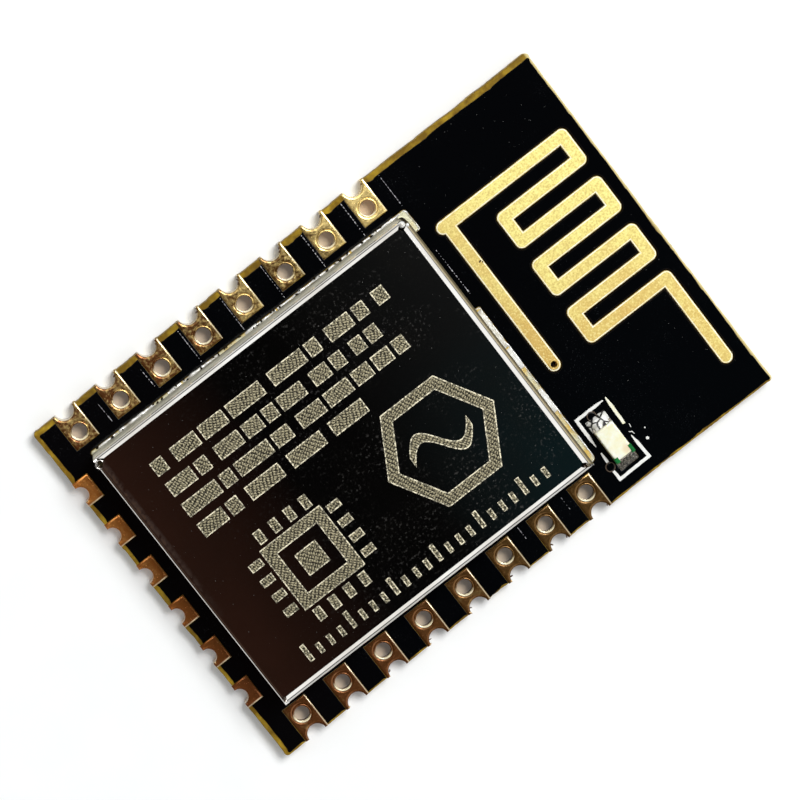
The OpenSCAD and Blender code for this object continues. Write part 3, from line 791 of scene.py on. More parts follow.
def edge_loop(side_cut, end_cut, margins, corner, wander, rng):
    """The board's edge, anticlockwise, with a cut at each pad and a margin to each of the four edges.

    A cut lists how far each of its points lies across the pad and into the board; None stands for the margin.
    Between the cuts the edge drifts a little from step to step, and now and then jumps.
    """
    step, keep, jump, calm, furthest = 0.13, 0.72, 0.45, 0.94, 1.3
    x0, y0, x1, y1 = BOARD_LOW.x, BOARD_LOW.y, BOARD_HIGH.x, BOARD_HIGH.y
    edges = (
        ((x0, y0), (1, 0), x1 - x0, [x - x0 for x in SIDE_X], side_cut),
        ((x1, y0), (0, 1), y1 - y0, [], None),
        ((x1, y1), (-1, 0), x1 - x0, [x1 - x for x in reversed(SIDE_X)], side_cut),
        ((x0, y1), (0, -1), y1 - y0, [y1 - y for y in END_Y], end_cut),
    )
    loop = []
    for k, (origin, along, long, pads, cut) in enumerate(edges):
        before, depth, after = margins[k - 1], margins[k], margins[(k + 1) % 4]
        points = arc(before + corner, depth + corner, corner, 180, 90, 4)
        at = before + corner
        for middle in pads + [None]:
            stop = long - after - corner if middle is None else middle + cut[0][0]
            steps = max(2, round((stop - at) / step))
            drift = 0.0
            for s in range(1, steps):
                drift = keep * drift + (1 - keep) * rng.random()
                drift += jump if rng.random() > calm else 0.0
                points.append((at + (stop - at) * s / steps, depth + min(drift, furthest) * wander))
            if middle is not None:
                points += [(middle + across, depth if deep is None else deep) for across, deep in cut]
                at = middle + cut[-1][0]
        loop += [(origin[0] + along[0] * s - along[1] * t, origin[1] + along[1] * s + along[0] * t)
                 for s, t in points]
    return loop


def antenna_outline():
    """Outline of the antenna with its leg, and the middle of the hole at the leg's end."""
    low, high = span("antenna_trace")
    half = TRACE_WIDTH / 2
    leg = Vector((low.x + STUB + half, span("board_vias")[1].y - VIA - PLATING))
    bar_y, tip = high.y - half, Vector((TAIL_X, low.y + half))
    half -= UNDERCUT
    path = [Vector((leg.x, bar_y))]
    for k in range(TURNS):
        x = TURN_X[k % 2] - TURN_LEAN * k
        path += [Vector((x, bar_y - TURN_STEP * k)), Vector((x, bar_y - TURN_STEP * (k + 1)))]
    path += [Vector((tip.x, bar_y - TURN_STEP * TURNS)), tip]
    right, left = track_sides(path, half)
    meet = math.degrees(math.acos((STUB - half) / half))
    outline = arc(leg.x - STUB, bar_y, half, 90, 270 - meet, 12)
    outline += arc(leg.x, leg.y, half, 180, 180, 20)
    outline += [(leg.x + half, bar_y - half)]
    outline += right + arc(tip.x, tip.y, half, 180, 180, 20) + left[::-1]
    return outline, leg


def track_sides(path, half):
    """Right and left borders of a track: round outside each corner, square inside it."""
    right, left = [], []
    for a, b, c in zip(path, path[1:], path[2:]):
        into, out = (b - a).normalized(), (c - b).normalized()
        start = math.degrees(math.atan2(-into.x, into.y))
        aside = half * Vector((-into.y - out.y, into.x + out.x))
        if into.cross(out) > 0:
            right += arc(b.x, b.y, half, start, 90, 8)
            left.append(tuple(b + aside))
        else:
            left += arc(b.x, b.y, half, start + 180, -90, 8)
            right.append(tuple(b - aside))
    return right, left


def ground_outline():
    """Outline of the gilt strip under the can, narrow at the antenna's side between two wide ends."""
    x0, y0, x1, y1 = CAN_EDGES
    near, far = x1 + 0.06, x1 + 0.28
    narrow_from, narrow_to = 1.2, 5.2
    outline = [(x0, y0 + 0.2), (x0 + 0.2, y0 - 0.17)] + arc(far - 0.16, y0 - 0.04, 0.16, 270, 90, 6)
    outline += [(far, narrow_from)] + arc(far - 0.06, narrow_from + 0.06, 0.06, 0, 90, 4)
    outline += [(near, narrow_from + 0.13), (near, narrow_to - 0.1)]
    outline += arc(far - 0.06, narrow_to, 0.09, 240, 120, 6) + arc(far - 0.12, y1 - 0.035, 0.12, 0, 90, 6)
    return outline + [(x0 + 0.06, y1 + 0.085), (x0, y1 + 0.03)]


class MODULE_OT_board(ModuleOperator, bpy.types.Operator):
    """Rout the laminate with its half holes, and lay the solder mask on both faces"""
    bl_idname = "module.board"
    bl_label = "Board"

    def make(self, scene):
        board = scene.board_finish
        rng = random.Random(4)
        cuts = [arc(0, 0, notch + PLATING, 180, -180, 16) for notch in (SIDE_NOTCH, END_NOTCH)]
        edge = edge_loop(*cuts, margins=(0, 0, 0, 0), corner=0.15, wander=board.fray / MM, rng=rng)
        antenna, leg = antenna_outline()
        bore_y = BOARD_HIGH.y - BORE_DEPTH
        holes = [hole(ring(x, y, BORE + PLATING, 32)) for x in SIDE_X for y in (-bore_y, bore_y)]
        holes.append(hole(ring(leg.x, leg.y, VIA + PLATING, 24)))
        laminate = sheet("laminate", [edge] + holes, rounded(BOARD_LOW.z, FACE_Z, 0.03, 2))
        place(laminate, "laminate", [laminate_finish(board)], "substrate")

        half = PAD_HALF + CLEARANCE
        cuts = [[(-half, None), (-half, deep + CLEARANCE), (half, deep + CLEARANCE), (half, None)]
                for deep in (SIDE_LENGTH, END_LENGTH)]
        # Margins at the right row, the antenna's end, the left row and the far end
        margins = (0.06, 0.07, 0.2, 0.16)
        border = edge_loop(*cuts, margins, corner=0.08, wander=board.mask_fray / MM, rng=rng)
        lands = rectangle(LANDS_LOW.x, LANDS_LOW.y, LANDS_HIGH.x, LANDS_HIGH.y)
        openings = [hole(inset(loop, -gap)) for loop, gap in ((antenna, 0.015), (ground_outline(), 0.02),
                                                              (lands, CLEARANCE))]
        film = sheet("mask_film", [border] + openings, rounded(FACE_Z - 0.006, MASK_Z, 0.012, 2))
        domes = [sheet("via_dome", [ring(x, y, VIA + PLATING, 20)], rounded(FACE_Z, MASK_Z + 0.03, 0.025))
                 for x, y in HIDDEN_VIAS]
        black = mask_finish(board)
        place(join("mask_top", [film, self.under_can()] + domes), "solder_mask", [black], "solder_mask_top")
        dress(black, "solder_mask_bottom")

    def under_can(self):
        """The mask under the can, as the frame has it."""
        x0, y0, x1, y1 = CAN_EDGES
        shape = bmesh.new()
        shape.from_mesh(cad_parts["solder_mask_top"].data)
        bmesh.ops.remove_doubles(shape, verts=shape.verts, dist=1e-7)
        bmesh.ops.scale(shape, vec=(1 / MM, 1 / MM, 1 / MM), verts=shape.verts)
        outside = [v for v in shape.verts if not (x0 < v.co.x < x1 and y0 < v.co.y < y1)]
        bmesh.ops.delete(shape, geom=outside, context="VERTS")
        if not shape.faces:
            raise RuntimeError("no mask was found under the can")
        return shaped("mask_under_can", shape)


def pad_shape(name, pad_length, notch, bore, rim):
    """A pad whose outer edge lies on the X axis: lands on both faces and the plating between them."""
    def around(radius):
        return ring(0, -BORE_DEPTH, radius, 40)

    outer = arc(0, 0, notch, 180, 180, 24)
    land = outer + [(PAD_HALF, 0), (PAD_HALF, -pad_length), (-PAD_HALF, -pad_length), (-PAD_HALF, 0)]
    loops = [hole(land)]
    straight = [(0, 0.03), (0, COPPER_Z - 0.03)]
    # Each lining has its outlines, its profile and how strong the painted highlight on its lit side is
    linings = [([hole(arc(0, 0, notch + PLATING, 180, 180, 24) + hole(outer))], straight, 0.6)]
    if bore:
        loops.append(hole(around(bore)))
        low = COPPER_Z - 0.16
        swell = [(0.03, low), (0, low + 0.05)] + rounded(low + 0.06, COPPER_Z - 0.01, 0.04, 4)
        linings.append(([around(bore + PLATING), hole(around(bore))], straight, 0.1))
        linings.append(([around(bore + 0.01), hole(around(bore - COLLAR))], swell, 1.0))
    tall = COPPER_Z - FACE_Z
    crown = [(0, FACE_Z - 0.01), (0, FACE_Z + 0.1 * tall)]
    crown += [(rim * (1 - math.cos(a)), FACE_Z + tall * (0.1 + 0.9 * math.sin(a)))
              for a in (math.pi / 10 * i for i in range(1, 6))]
    parts = [marked(sheet(name, loops, edge), "painted_highlight", 0.0) for edge in (crown, rounded(0, 0.05, 0.012, 2))]
    parts += [marked(sheet(name, outlines, edge), "painted_highlight", share) for outlines, edge, share in linings]
    return join(name, parts)


class MODULE_OT_pads(ModuleOperator, bpy.types.Operator):
    """Lay the gilt pads with their holes along three edges"""
    bl_idname = "module.pads"
    bl_label = "Edge pads"

    def make(self, scene):
        pads = scene.pad_finish
        rim = pads.rim / MM
        gilt = pad_gilt_finish(pads)
        tree = pad_row_tree()
        side = pad_shape("side_pad", SIDE_LENGTH, SIDE_NOTCH, BORE, rim)
        end = pad_shape("end_pad", END_LENGTH, END_NOTCH, None, rim)
        rows = (
            ("left_pad", side, SIDE_COUNT, (SIDE_X[0], BOARD_HIGH.y, 0), (PITCH, 0, 0), 0.0),
            ("right_pad", side, SIDE_COUNT, (SIDE_X[0], BOARD_LOW.y, 0), (PITCH, 0, 0), math.pi),
            ("end_pad", end, END_COUNT, (BOARD_LOW.x, END_Y[0], 0), (0, -PITCH, 0), math.pi / 2),
        )
        for stem, shape, count, first, step, turn in rows:
            row = tree.grow(stem + "s", mesh_piece("pad_row", [], []), Pad=shape, Count=count, First=first,
                            Step=step, Turn=turn, Finish=gilt)
            place(row, "gilt_pad", [], *[f"{stem}_{i + 1}" for i in range(count)])
        discard(side)
        discard(end)


class MODULE_OT_burrs(ModuleOperator, bpy.types.Operator):
    """Leave torn scraps of copper at the pads' half holes and on the antenna's leg"""
    bl_idname = "module.burrs"
    bl_label = "Burrs"

    def make(self, scene):
        left, right, far = BOARD_HIGH.y, BOARD_LOW.y, BOARD_LOW.x
        dark = [(x + 0.35, left - 0.14) for x in SIDE_X[1:]] + [(x + 0.29, left - 0.26) for x in SIDE_X[4:6]]
        dark += [(x - 0.3, right + 0.2) for x in SIDE_X[2:7]] + [(x + 0.36, right + 0.1) for x in SIDE_X[6:]]
        gilt = [(x - 0.42, right + 0.04) for x in SIDE_X[1:6]] + [(far + 0.07, y - 0.36) for y in END_Y[::2]]
        torn = plain_finish("torn_copper", (0.05, 0.022, 0.014), (0.12, 0.06, 0.03), patch=0.06,
                            roughness=0.45, depth=0.01, metallic=0.6)
        plated = bpy.data.materials["gilt_pad"]
        tree = burr_tree()
        scrap = pebble("scrap", 0.055, (1.3, 0.55, 0.6), 1, smooth=False)
        low = COPPER_Z - 0.03
        groups = (("dark_burrs", dark, low, torn), ("gilt_burrs", gilt, low, plated),
                  ("leg_nick", NICKS, COPPER_Z, torn))
        for name, spots, height, finish in groups:
            base = wire(name, [[spot] for spot in spots], height)
            place(tree.grow(name, base, Scrap=scrap, Finish=finish), "gilt_pad", [])
        discard(scrap)


class MODULE_OT_antenna(ModuleOperator, bpy.types.Operator):
    """Etch the meander antenna with its leg and the hole at the leg's end"""
    bl_idname = "module.antenna"
    bl_label = "Antenna"

    def make(self, scene):
        outline, leg = antenna_outline()
        slope = [(0, FACE_Z - 0.004), (0.004, FACE_Z + 0.02), (0.012, COPPER_Z - 0.006), (0.06, COPPER_Z)]
        trace = sheet("antenna", [outline, hole(ring(leg.x, leg.y, VIA, 24))], slope, rim=True)
        gilt = trace_finish(scene.pad_finish)
        # Painted highlight: a pale cream on the antenna's rim, the last step of its edge, all round its outline
        pale = plain_finish("pale_edge", (1.0, 0.96, 0.74), (0.95, 0.82, 0.45), patch=0.3, roughness=0.4)
        place(trace, "gilt_trace", [gilt, pale], "antenna_trace")
        collar = sheet("leg_collar", [ring(leg.x, leg.y, 0.21), hole(ring(leg.x, leg.y, VIA))],
                       rounded(COPPER_Z - 0.02, COPPER_Z + 0.025, 0.02))
        place(collar, "gilt_trace", [gilt])
        lip = sheet("mask_lip", [inset(outline, -0.085), hole(inset(outline, -0.06))],
                    [(0, MASK_Z - 0.004), (0, MASK_Z + 0.012), (0.006, MASK_Z + 0.016)])
        rings = [sheet("via_ring", [ring(x, y, 0.2, 20), hole(ring(x, y, 0.165, 20))],
                       [(0, MASK_Z), (0, MASK_Z + 0.03), (0.006, MASK_Z + 0.034)]) for x, y in HIDDEN_VIAS]
        brown = plain_finish("ring_stain", (0.09, 0.05, 0.02), (0.03, 0.018, 0.008), patch=0.1, roughness=0.5)
        place(join("via_rings", rings), "solder_mask", [brown])
        # Painted shade: near-black brown on the low ridge of mask round the antenna
        dark = plain_finish("lip_stain", (0.009, 0.006, 0.003), (0.003, 0.002, 0.002), patch=0.4,
                            roughness=0.7, shine=0.05)
        place(lip, "solder_mask", [dark])
        dress(gilt, "board_vias", "led_lands", "component_lands")


class MODULE_OT_can(ModuleOperator, bpy.types.Operator):
    """Fold the shield can from one sheet with open corners"""
    bl_idname = "module.can"
    bl_label = "Shield can"

    def make(self, scene):
        can = scene.can_finish
        middle = (CAN_LOW.xy + CAN_HIGH.xy) / 2
        steps = 12
        # Sides in turn, each with the corner before it: right row, antenna end, left row, far end
        folds = [fold / MM for fold in (can.right_fold, can.antenna_fold, can.left_fold, can.far_fold)]
        # Step of each fold from which the sheet has the walls' finish
        first_dull = (steps, 5, steps, steps)
        notches = [cut / MM for cut in (can.notch, can.notch, can.open_notch, can.eye_notch)]
        slits = (0.01, 0.01, 0.17, 0.05)
        reach = [(CAN_HIGH.y - CAN_LOW.y) / 2, (CAN_HIGH.x - CAN_LOW.x) / 2] * 2
        flat = [out - fold for out, fold in zip(reach, folds)]

        def run(side, corner, bend):
            """How far a fold runs to a corner: short of it beside the lid, and up to its slit at the wall."""
            return flat[side] - notches[corner] * (1 - bend) + (folds[side] - slits[corner]) * bend * bend

        points, faces, indices, lid = [], [], [], []
        for side, fold in enumerate(folds):
            turn = Matrix.Rotation(math.pi / 2 * side, 2)
            after = (side + 1) % 4
            start = len(points)
            for i in range(steps + 2):
                bend = math.sin(math.pi / 2 * min(i / steps, 1.0))
                height = CAN_LOW.z if i > steps else CAN_HIGH.z - fold * (1 - math.sqrt(1 - bend * bend))
                for end in (-run(side - 1, side, bend), run(after, after, bend)):
                    at = turn @ Vector((end, -flat[side] - fold * bend)) + middle
                    points.append((at.x, at.y, height))
            faces += [tuple(start + 2 * i + corner for corner in (2, 3, 1, 0)) for i in range(steps + 1)]
            indices += [int(i >= first_dull[side]) for i in range(steps + 1)]
            lid += [start, start + 1]
        piece = mesh_piece("shield_can_sheet", points, faces + [lid], indices + [0])
        wall = piece.modifiers.new("wall", "SOLIDIFY")
        wall.thickness = can.thickness / MM
        wall.offset = -1
        mesh = modified(piece)
        mesh.set_sharp_from_angle(angle=CREASE)
        mesh.polygons.foreach_set("use_smooth", [abs(p.normal.z) < 0.9999 for p in mesh.polygons])
        curl = sheet("corner_eye", [ring(EYE.x, EYE.y, 0.19, 24), hole(ring(EYE.x, EYE.y, 0.14, 24))],
                     rounded(CAN_HIGH.z - 0.1, CAN_HIGH.z - 0.01, 0.02))
        whole = join("shield_can_sheet", [linked("folded_sheet", mesh), curl])
        place(whole, "bright_sheet", [sheet_finish(can), wall_finish()], "shield_can")


class MODULE_OT_etching(ModuleOperator, bpy.types.Operator):
    """Etch plain marks on the can's lid: bars, a ringed wave, a chip sign and a row of ticks"""
    bl_idname = "module.etching"
    bl_label = "Lid etching"

    def make(self, scene):
        can = scene.can_finish
        top = CAN_HIGH.z + 0.004
        profile = [(0, CAN_HIGH.z - 0.002), (0, top), (can.etch_rim / MM, top)]
        marks = []

        def mark(loops, slant):
            marks.append(marked(sheet("mark", loops, profile, rim=True), "slant", slant))

        def box(x, y, half_x, half_y):
            return rectangle(x - half_x, y - half_y, x + half_x, y + half_y)

        self.bars(mark)
        self.chip_sign(mark, box, -6.4, -2.1)
        self.wave_badge(mark, 0.2, -1.6)
        foot, width, spacing = -5.25, 0.2, 0.52
        for i in range(23):
            x = -8.9 + i * spacing
            mark([rectangle(x, foot, x + width, foot + (0.45 if i % 4 else 0.75))], 0.6)
        place(join("lid_etching", marks), "bright_sheet", [etch_finish(can), etch_rim_finish(can)])

    def bars(self, mark):
        """Rows of hatched blocks in uneven lengths."""
        rng = random.Random(21)
        tall, row_step = 0.62, 0.98
        for row, end in enumerate((2.9, 1.2, 2.2, -0.6)):
            x, y = -9.1, 3.95 - row_step * row
            while x < end - 0.5:
                long = min(rng.choice((0.55, 0.55, 0.8, 1.15, 1.6)), end - x)
                mark([rectangle(x, y, x + long, y + tall)], rng.choice((0.5, -0.6, 1.2)))
                x += long + rng.choice((0.17, 0.17, 0.4))

    def chip_sign(self, mark, box, x, y):
        """A square chip seen from above, with pins on four sides."""
        outer, inner, core, pin_half, pin_width, pin_step = 1.45, 0.95, 0.5, 0.28, 0.17, 0.72
        mark([box(x, y, outer, outer), hole(box(x, y, inner, inner))], 0.8)
        mark([box(x, y, core, core)], -0.7)
        for i in range(4):
            along = (i - 1.5) * pin_step
            for out in (-outer - 0.42, outer + 0.42):
                mark([box(x + along, y + out, pin_width, pin_half)], 0.3)
                mark([box(x + out, y + along, pin_half, pin_width)], 1.3)

    def wave_badge(self, mark, x, y):
        """A six-sided ring round one plain wave."""
        steps, half_length, height, half_width = 28, 1.35, 0.62, 0.22
        mark([ring(x, y, 2.55, 6), hole(ring(x, y, 2.0, 6))], -0.4)
        line = [(x + half_length * (2 * i / steps - 1), y + height * math.sin(math.tau * i / steps))
                for i in range(steps + 1)]
        lower, upper = ([(px, py + side) for px, py in line] for side in (-half_width, half_width))
        mark([lower + upper[::-1]], 1.0)


class MODULE_OT_solder(ModuleOperator, bpy.types.Operator):
    """Run the ground track and its uneven solder round the can's foot"""
    bl_idname = "module.solder"
    bl_label = "Can solder"

    def make(self, scene):
        solder = scene.solder_finish
        x0, y0, x1, y1 = CAN_EDGES
        top = CAN_HIGH.z
        inner = hole(inset(rectangle(*CAN_EDGES), 0.39))
        track = sheet("ground_strip", [ground_outline(), inner], rounded(FACE_Z, COPPER_Z, 0.015, 2))
        place(track, "gilt_trace", [strip_finish()], "ground_track")
        tin = solder_finish(solder)
        beige = plain_finish("stained_solder", (0.56, 0.53, 0.44), (0.8, 0.79, 0.72), patch=0.12,
                             roughness=0.4, depth=0.01, metallic=0.2)
        white = plain_finish("white_solder", (0.97, 0.97, 0.94), (0.85, 0.84, 0.77), patch=0.2,
                             roughness=0.35, depth=0.006)
        foot = y1 + 0.045
        # Where the seam along the left wall starts and stops
        runs = ((x0 + 0.3, -9.4), (-9.3, -7.62), (-6.92, -6.3), (-6.2, -4.52), (-3.2, -1.7), (-1.62, 1.9),
                (1.98, x1))
        seams = wire("seam_path", [[(start, foot), (stop, foot)] for start, stop in runs], COPPER_Z)
        border = wire("border_path", [inset(ground_outline(), 0.02)[1:-2]], COPPER_Z)
        tree = seam_tree()
        parts = [tree.grow("seam", seams, Radius=solder.bead / MM, Grain=2.2, Lump=0.4, Finish=tin),
                 tree.grow("border", border, Radius=solder.line / MM, Grain=3.0, Lump=0.6, Finish=tin)]
        rng = random.Random(17)
        # Slabs at the antenna's end: where each starts and stops, its height and its material
        slabs = ((1.2, -0.6, 0.06, 1), (-0.65, -1.62, 0.16, 2), (-2.66, -3.77, 0.16, 2))
        for start, stop, tall, index in slabs:
            slab = heap("slab", (x1 - 0.02, x1 + 0.27), (start, stop), tall, rough=0.16, rng=rng, even=True)
            parts.append(painted(slab, index))
        parts.append(pebble("ball", 0.13, (1, 1, 0.8), 3, at=(x1 - 0.27, y1 - 0.14, top - 0.105)))
        parts.append(pebble("crumb", 0.07, (1, 1, 0.8), 3, at=(x1 - 0.11, y1 - 0.28, top - 0.1)))
        place(join("can_solder", parts), "solder", [tin, beige, white], "shield_solder")

        # Burnt flux: dark spots along the seam; and painted shade: dark fills in the can's two open corners
        spots = [[(rng.uniform(x0 + 0.2, x1 - 0.6), foot + rng.uniform(-0.03, 0.06))] for i in range(40)]
        burnt = plain_finish("burnt_flux", (0.004, 0.003, 0.002), (0.03, 0.02, 0.007), patch=0.05,
                             roughness=0.7, shine=0.05)
        scrap = pebble("flux_scrap", 0.05, (1.5, 0.7, 0.8), 2)
        field = wire("spot_field", spots, COPPER_Z + 0.03)
        parts = [burr_tree().grow("spots", field, Scrap=scrap, Finish=burnt)]
        discard(scrap)
        # Painted shade: dark bodies in the eye and the open corner, where the can's shadowed inside shows
        parts.append(pebble("eye_fill", 0.15, (1, 1, 0.5), 3, at=(EYE.x, EYE.y, top - 0.13)))
        parts.append(pebble("slit_fill", 0.12, (1, 1, 8), 3, at=(x1 - 0.12, y1 - 0.12, top - 1.12)))
        place(join("flux_spots", parts), "solder", [burnt])


def heap(name, xs, ys, tall, rough, rng, even=False, columns=14, rows=12):
    """A closed heap of solder over a rectangle, creased at random; highest at its far end unless even."""
    points, faces = [], []
    for j in range(rows + 1):
        for i in range(columns + 1):
            u, v = i / columns, j / rows
            edge = min(1.0, 4 * min(u, 1 - u, v, 1 - v if even else 1.0))
            slope = 1.0 if even else 0.6 + 0.4 * v
            height = tall * edge * slope * (1 + rough * rng.uniform(-0.5, 0.5))
            points.append((xs[0] + (xs[1] - xs[0]) * u, ys[0] + (ys[1] - ys[0]) * v, COPPER_Z + height))
    for j in range(rows):
        for i in range(columns):
            a = j * (columns + 1) + i
            quad = (a, a + 1, a + columns + 2, a + columns + 1)
            faces.append(quad if ys[1] > ys[0] else quad[::-1])
    whole = mesh_piece(name, points, faces, None, [True] * len(faces))
    shape = bmesh.new()
    shape.from_mesh(whole.data)
    walls = bmesh.ops.extrude_edge_only(shape, edges=[e for e in shape.edges if e.is_boundary])
    for vertex in (g for g in walls["geom"] if isinstance(g, bmesh.types.BMVert)):
        vertex.co.z = COPPER_Z - 0.02
    bmesh.ops.holes_fill(shape, edges=[e for e in shape.edges if e.is_boundary])
    bmesh.ops.recalc_face_normals(shape, faces=shape.faces)
    shape.to_mesh(whole.data)
    shape.free()
    return whole


class MODULE_OT_light(ModuleOperator, bpy.types.Operator):
    """Set the indicator light on its lands with solder at both ends"""
    bl_idname = "module.light"
    bl_label = "Indicator light"

    def make(self, scene):
        light = scene.light_finish
        low, high = LED_LOW, LED_HIGH
        lens = sheet("light_lens", [rectangle(low.x, low.y + 0.1, high.x, high.y - 0.08)],
                     rounded(low.z, high.z, 0.07, 4))
        place(lens, "led_lens", [lens_finish(light)], "led_lens")
        base_low, base_high = span("led_base")
        base = sheet("light_base", [rectangle(base_low.x, base_low.y, base_high.x, base_high.y)],
                     rounded(base_low.z, base_high.z, 0.02, 2))
        cream = plain_finish("light_base", light.base, (0.7, 0.64, 0.45), patch=0.3, roughness=0.5)
        place(base, "led_base", [cream], "led_base")
        marks_low, marks_high = span("led_marks")
        edge = rounded(marks_low.z, marks_high.z + 0.012, 0.02, 2)
        marks = [sheet("mark", [rectangle(x, low.y + 0.03, x + wide, low.y + tall)], edge)
                 for x, wide, tall in ((marks_low.x - 0.03, 0.17, 0.26), (marks_high.x - 0.12, 0.15, 0.38))]
        green = plain_finish("green_mark", light.mark, (0.006, 0.2, 0.04), patch=0.12, roughness=0.7,
                             shine=0.2)
        place(join("light_marks", marks), "led_mark", [green], "led_marks")
        grey = plain_finish("dull_tin", (0.42, 0.39, 0.33), (0.25, 0.22, 0.18), patch=0.12, roughness=0.4,
                            depth=0.02, metallic=1.0)
        dress(grey, "led_ends")

        # Crumpled solder at the bright end and a dull fillet at the other
        rng = random.Random(9)
        bright = heap("bright_end", (LANDS_LOW.x - 0.02, LANDS_HIGH.x + 0.02),
                      (LANDS_HIGH.y + 0.02, high.y - 0.12), tall=0.45, rough=0.2, rng=rng, columns=6, rows=5)
        bright.data.polygons.foreach_set("use_smooth", [False] * len(bright.data.polygons))
        dull = heap("dull_end", (LANDS_LOW.x, LANDS_HIGH.x), (LANDS_LOW.y, low.y + 0.1), tall=0.22,
                    rough=0.8, rng=rng)
        white = crumpled_finish("crumpled_tin", 0.4, (1.0, 1.0, 0.97), (0.86, 0.86, 0.8))
        stained = crumpled_finish("stained_tin", 0.11, (0.34, 0.31, 0.26), (0.05, 0.044, 0.035))
        place(join("light_solder", [bright, painted(dull, 1)]), "solder", [white, stained], "led_solder")


class MODULE_OT_print(ModuleOperator, bpy.types.Operator):
    """Print the broken white frame round the light, with its dot"""
    bl_idname = "module.print"
    bl_label = "Printed frame"

    def make(self, scene):
        light = scene.light_finish
        width = light.line / MM
        thin = width * 0.35
        yellow = self.stroke([(6.34, -4.5), (6.31, -5.78)], width, 0.35, 0.9, random.Random(5))
        # Each stroke has its points, its width and the shares of the width at its two ends
        strokes = (
            ([(6.19, -4.54), (4.89, -4.54), (4.88, -5.82)], width, 0.35, 0.2),
            ([(6.25, -6.3), (6.31, -7.39), (4.87, -7.42), (4.85, -6.95)], width, 0.2, 0.8),
            ([(4.89, -6.14), (4.88, -6.6)], width, 0.4, 0.9),
            ([(6.46, -5.9), (6.43, -6.04)], thin, 0.6, 0.6),
            ([(6.25, -6.15), (6.36, -6.21), (6.39, -6.34)], thin, 0.5, 0.5),
        )
        rng = random.Random(2)
        parts = [self.stroke(*stroke, rng) for stroke in strokes]
        parts += [sheet("dot", [ring(x, y, radius, 16)], PRINT_EDGE)
                  for x, y, radius in ((6.69, -6.79, 0.065), (6.85, -6.4, 0.03))]
        ink = plain_finish("white_ink", light.ink, (0.8, 0.8, 0.75), patch=0.15, roughness=0.6)
        yellowed = plain_finish("yellowed_ink", (0.84, 0.82, 0.56), (0.9, 0.9, 0.8), patch=0.12,
                                roughness=0.6)
        lines = join("printed_lines", parts + [painted(yellow, 1)])
        place(lines, "white_print", [ink, yellowed], "printed_frame")

    def stroke(self, points, width, first, last, rng):
        """One printed line with uneven borders, its ends narrowed to a share of its width."""
        path, bends = [], []
        for a, b in zip(points, points[1:]):
            bends.append(len(path))
            steps = max(2, round((Vector(b) - Vector(a)).length / 0.09))
            path += [Vector(a).lerp(Vector(b), k / steps) for k in range(steps)]
        path.append(Vector(points[-1]))
        left, right = [], []
        for i, at in enumerate(path):
            ahead = path[min(i + 1, len(path) - 1)] - path[max(i - 1, 0)]
            side = Vector((-ahead.y, ahead.x)).normalized()
            reach = width / 2 * (1.41 if i in bends[1:] else 1.0)
            reach *= min(1.0, first + (1 - first) * i / 4, last + (1 - last) * (len(path) - 1 - i) / 4)
            left.append(tuple(at + side * reach * rng.uniform(0.9, 1.08)))
            right.append(tuple(at - side * reach * rng.uniform(0.9, 1.08)))
        return sheet("stroke", [right + left[::-1]], PRINT_EDGE)


class MODULE_OT_ridges(ModuleOperator, bpy.types.Operator):
    """Raise the ridges of tracks that run under the mask"""
    bl_idname = "module.ridges"
    bl_label = "Track ridges"

    def make(self, scene):
        lines = [[(x, 7.7), (x, 6.25)] for x in (-5.17, -3.12, -1.14, 0.83, 2.77, 4.6)]
        lines += [[(-9.3, 7.3), (-9.28, 6.6)], [(-7.2, 7.4), (-7.17, 6.6)], [(4.6, 4.05), (4.62, 1.95)]]
        lines += [[(2.6, -6.6), (2.6, -7.1)], [(0.55, -6.5), (0.55, -6.95)]]
        bead = pebble("ridge_bead", scene.board_finish.ridge_width / MM, (0.5, 0.35, 1.6), 2)
        # Painted glints: the ridges are mask, coloured grey so that they show as broken whitish glints
        painted_glint = plain_finish("ridge_gloss", (0.5, 0.5, 0.52), (0.2, 0.2, 0.22), patch=0.2, roughness=0.25)
        base = wire("ridge_lines", lines, MASK_Z)
        place(bead_tree().grow("track_ridges", base, Bead=bead, Gap=0.14, Finish=painted_glint), "solder_mask", [])
        discard(bead)


class MODULE_OT_dust(ModuleOperator, bpy.types.Operator):
    """Scatter a little dust over the mask and the lid"""
    bl_idname = "module.dust"
    bl_label = "Dust"

    def make(self, scene):
        lid, mask = CAN_HIGH.z + 0.002, MASK_Z + 0.002
        fields = (((-10.2, -5.5, 3.9, 5.5), lid), ((6.9, -7.5, 11.7, 7.6), mask),
                  ((4.9, 5.1, 11.7, 7.6), mask))
        points = [(x, y, height) for edges, height in fields for x, y in rectangle(*edges)]
        field = mesh_piece("dust_field", points, [range(4 * i, 4 * i + 4) for i in range(len(fields))])
        area = sum((x1 - x0) * (y1 - y0) for (x0, y0, x1, y1), _ in fields)
        grey = plain_finish("dust_grey", (0.05, 0.05, 0.048), (0.14, 0.138, 0.13), patch=0.05, roughness=0.8)
        speck = pebble("speck", 0.022, (1.0, 0.6, 0.3), 1, smooth=False)
        density = scene.board_finish.dust_count / area
        dust = scatter_tree().grow("dust", field, Speck=speck, Density=density, Finish=grey)
        place(dust, "white_print", [])
        discard(speck)


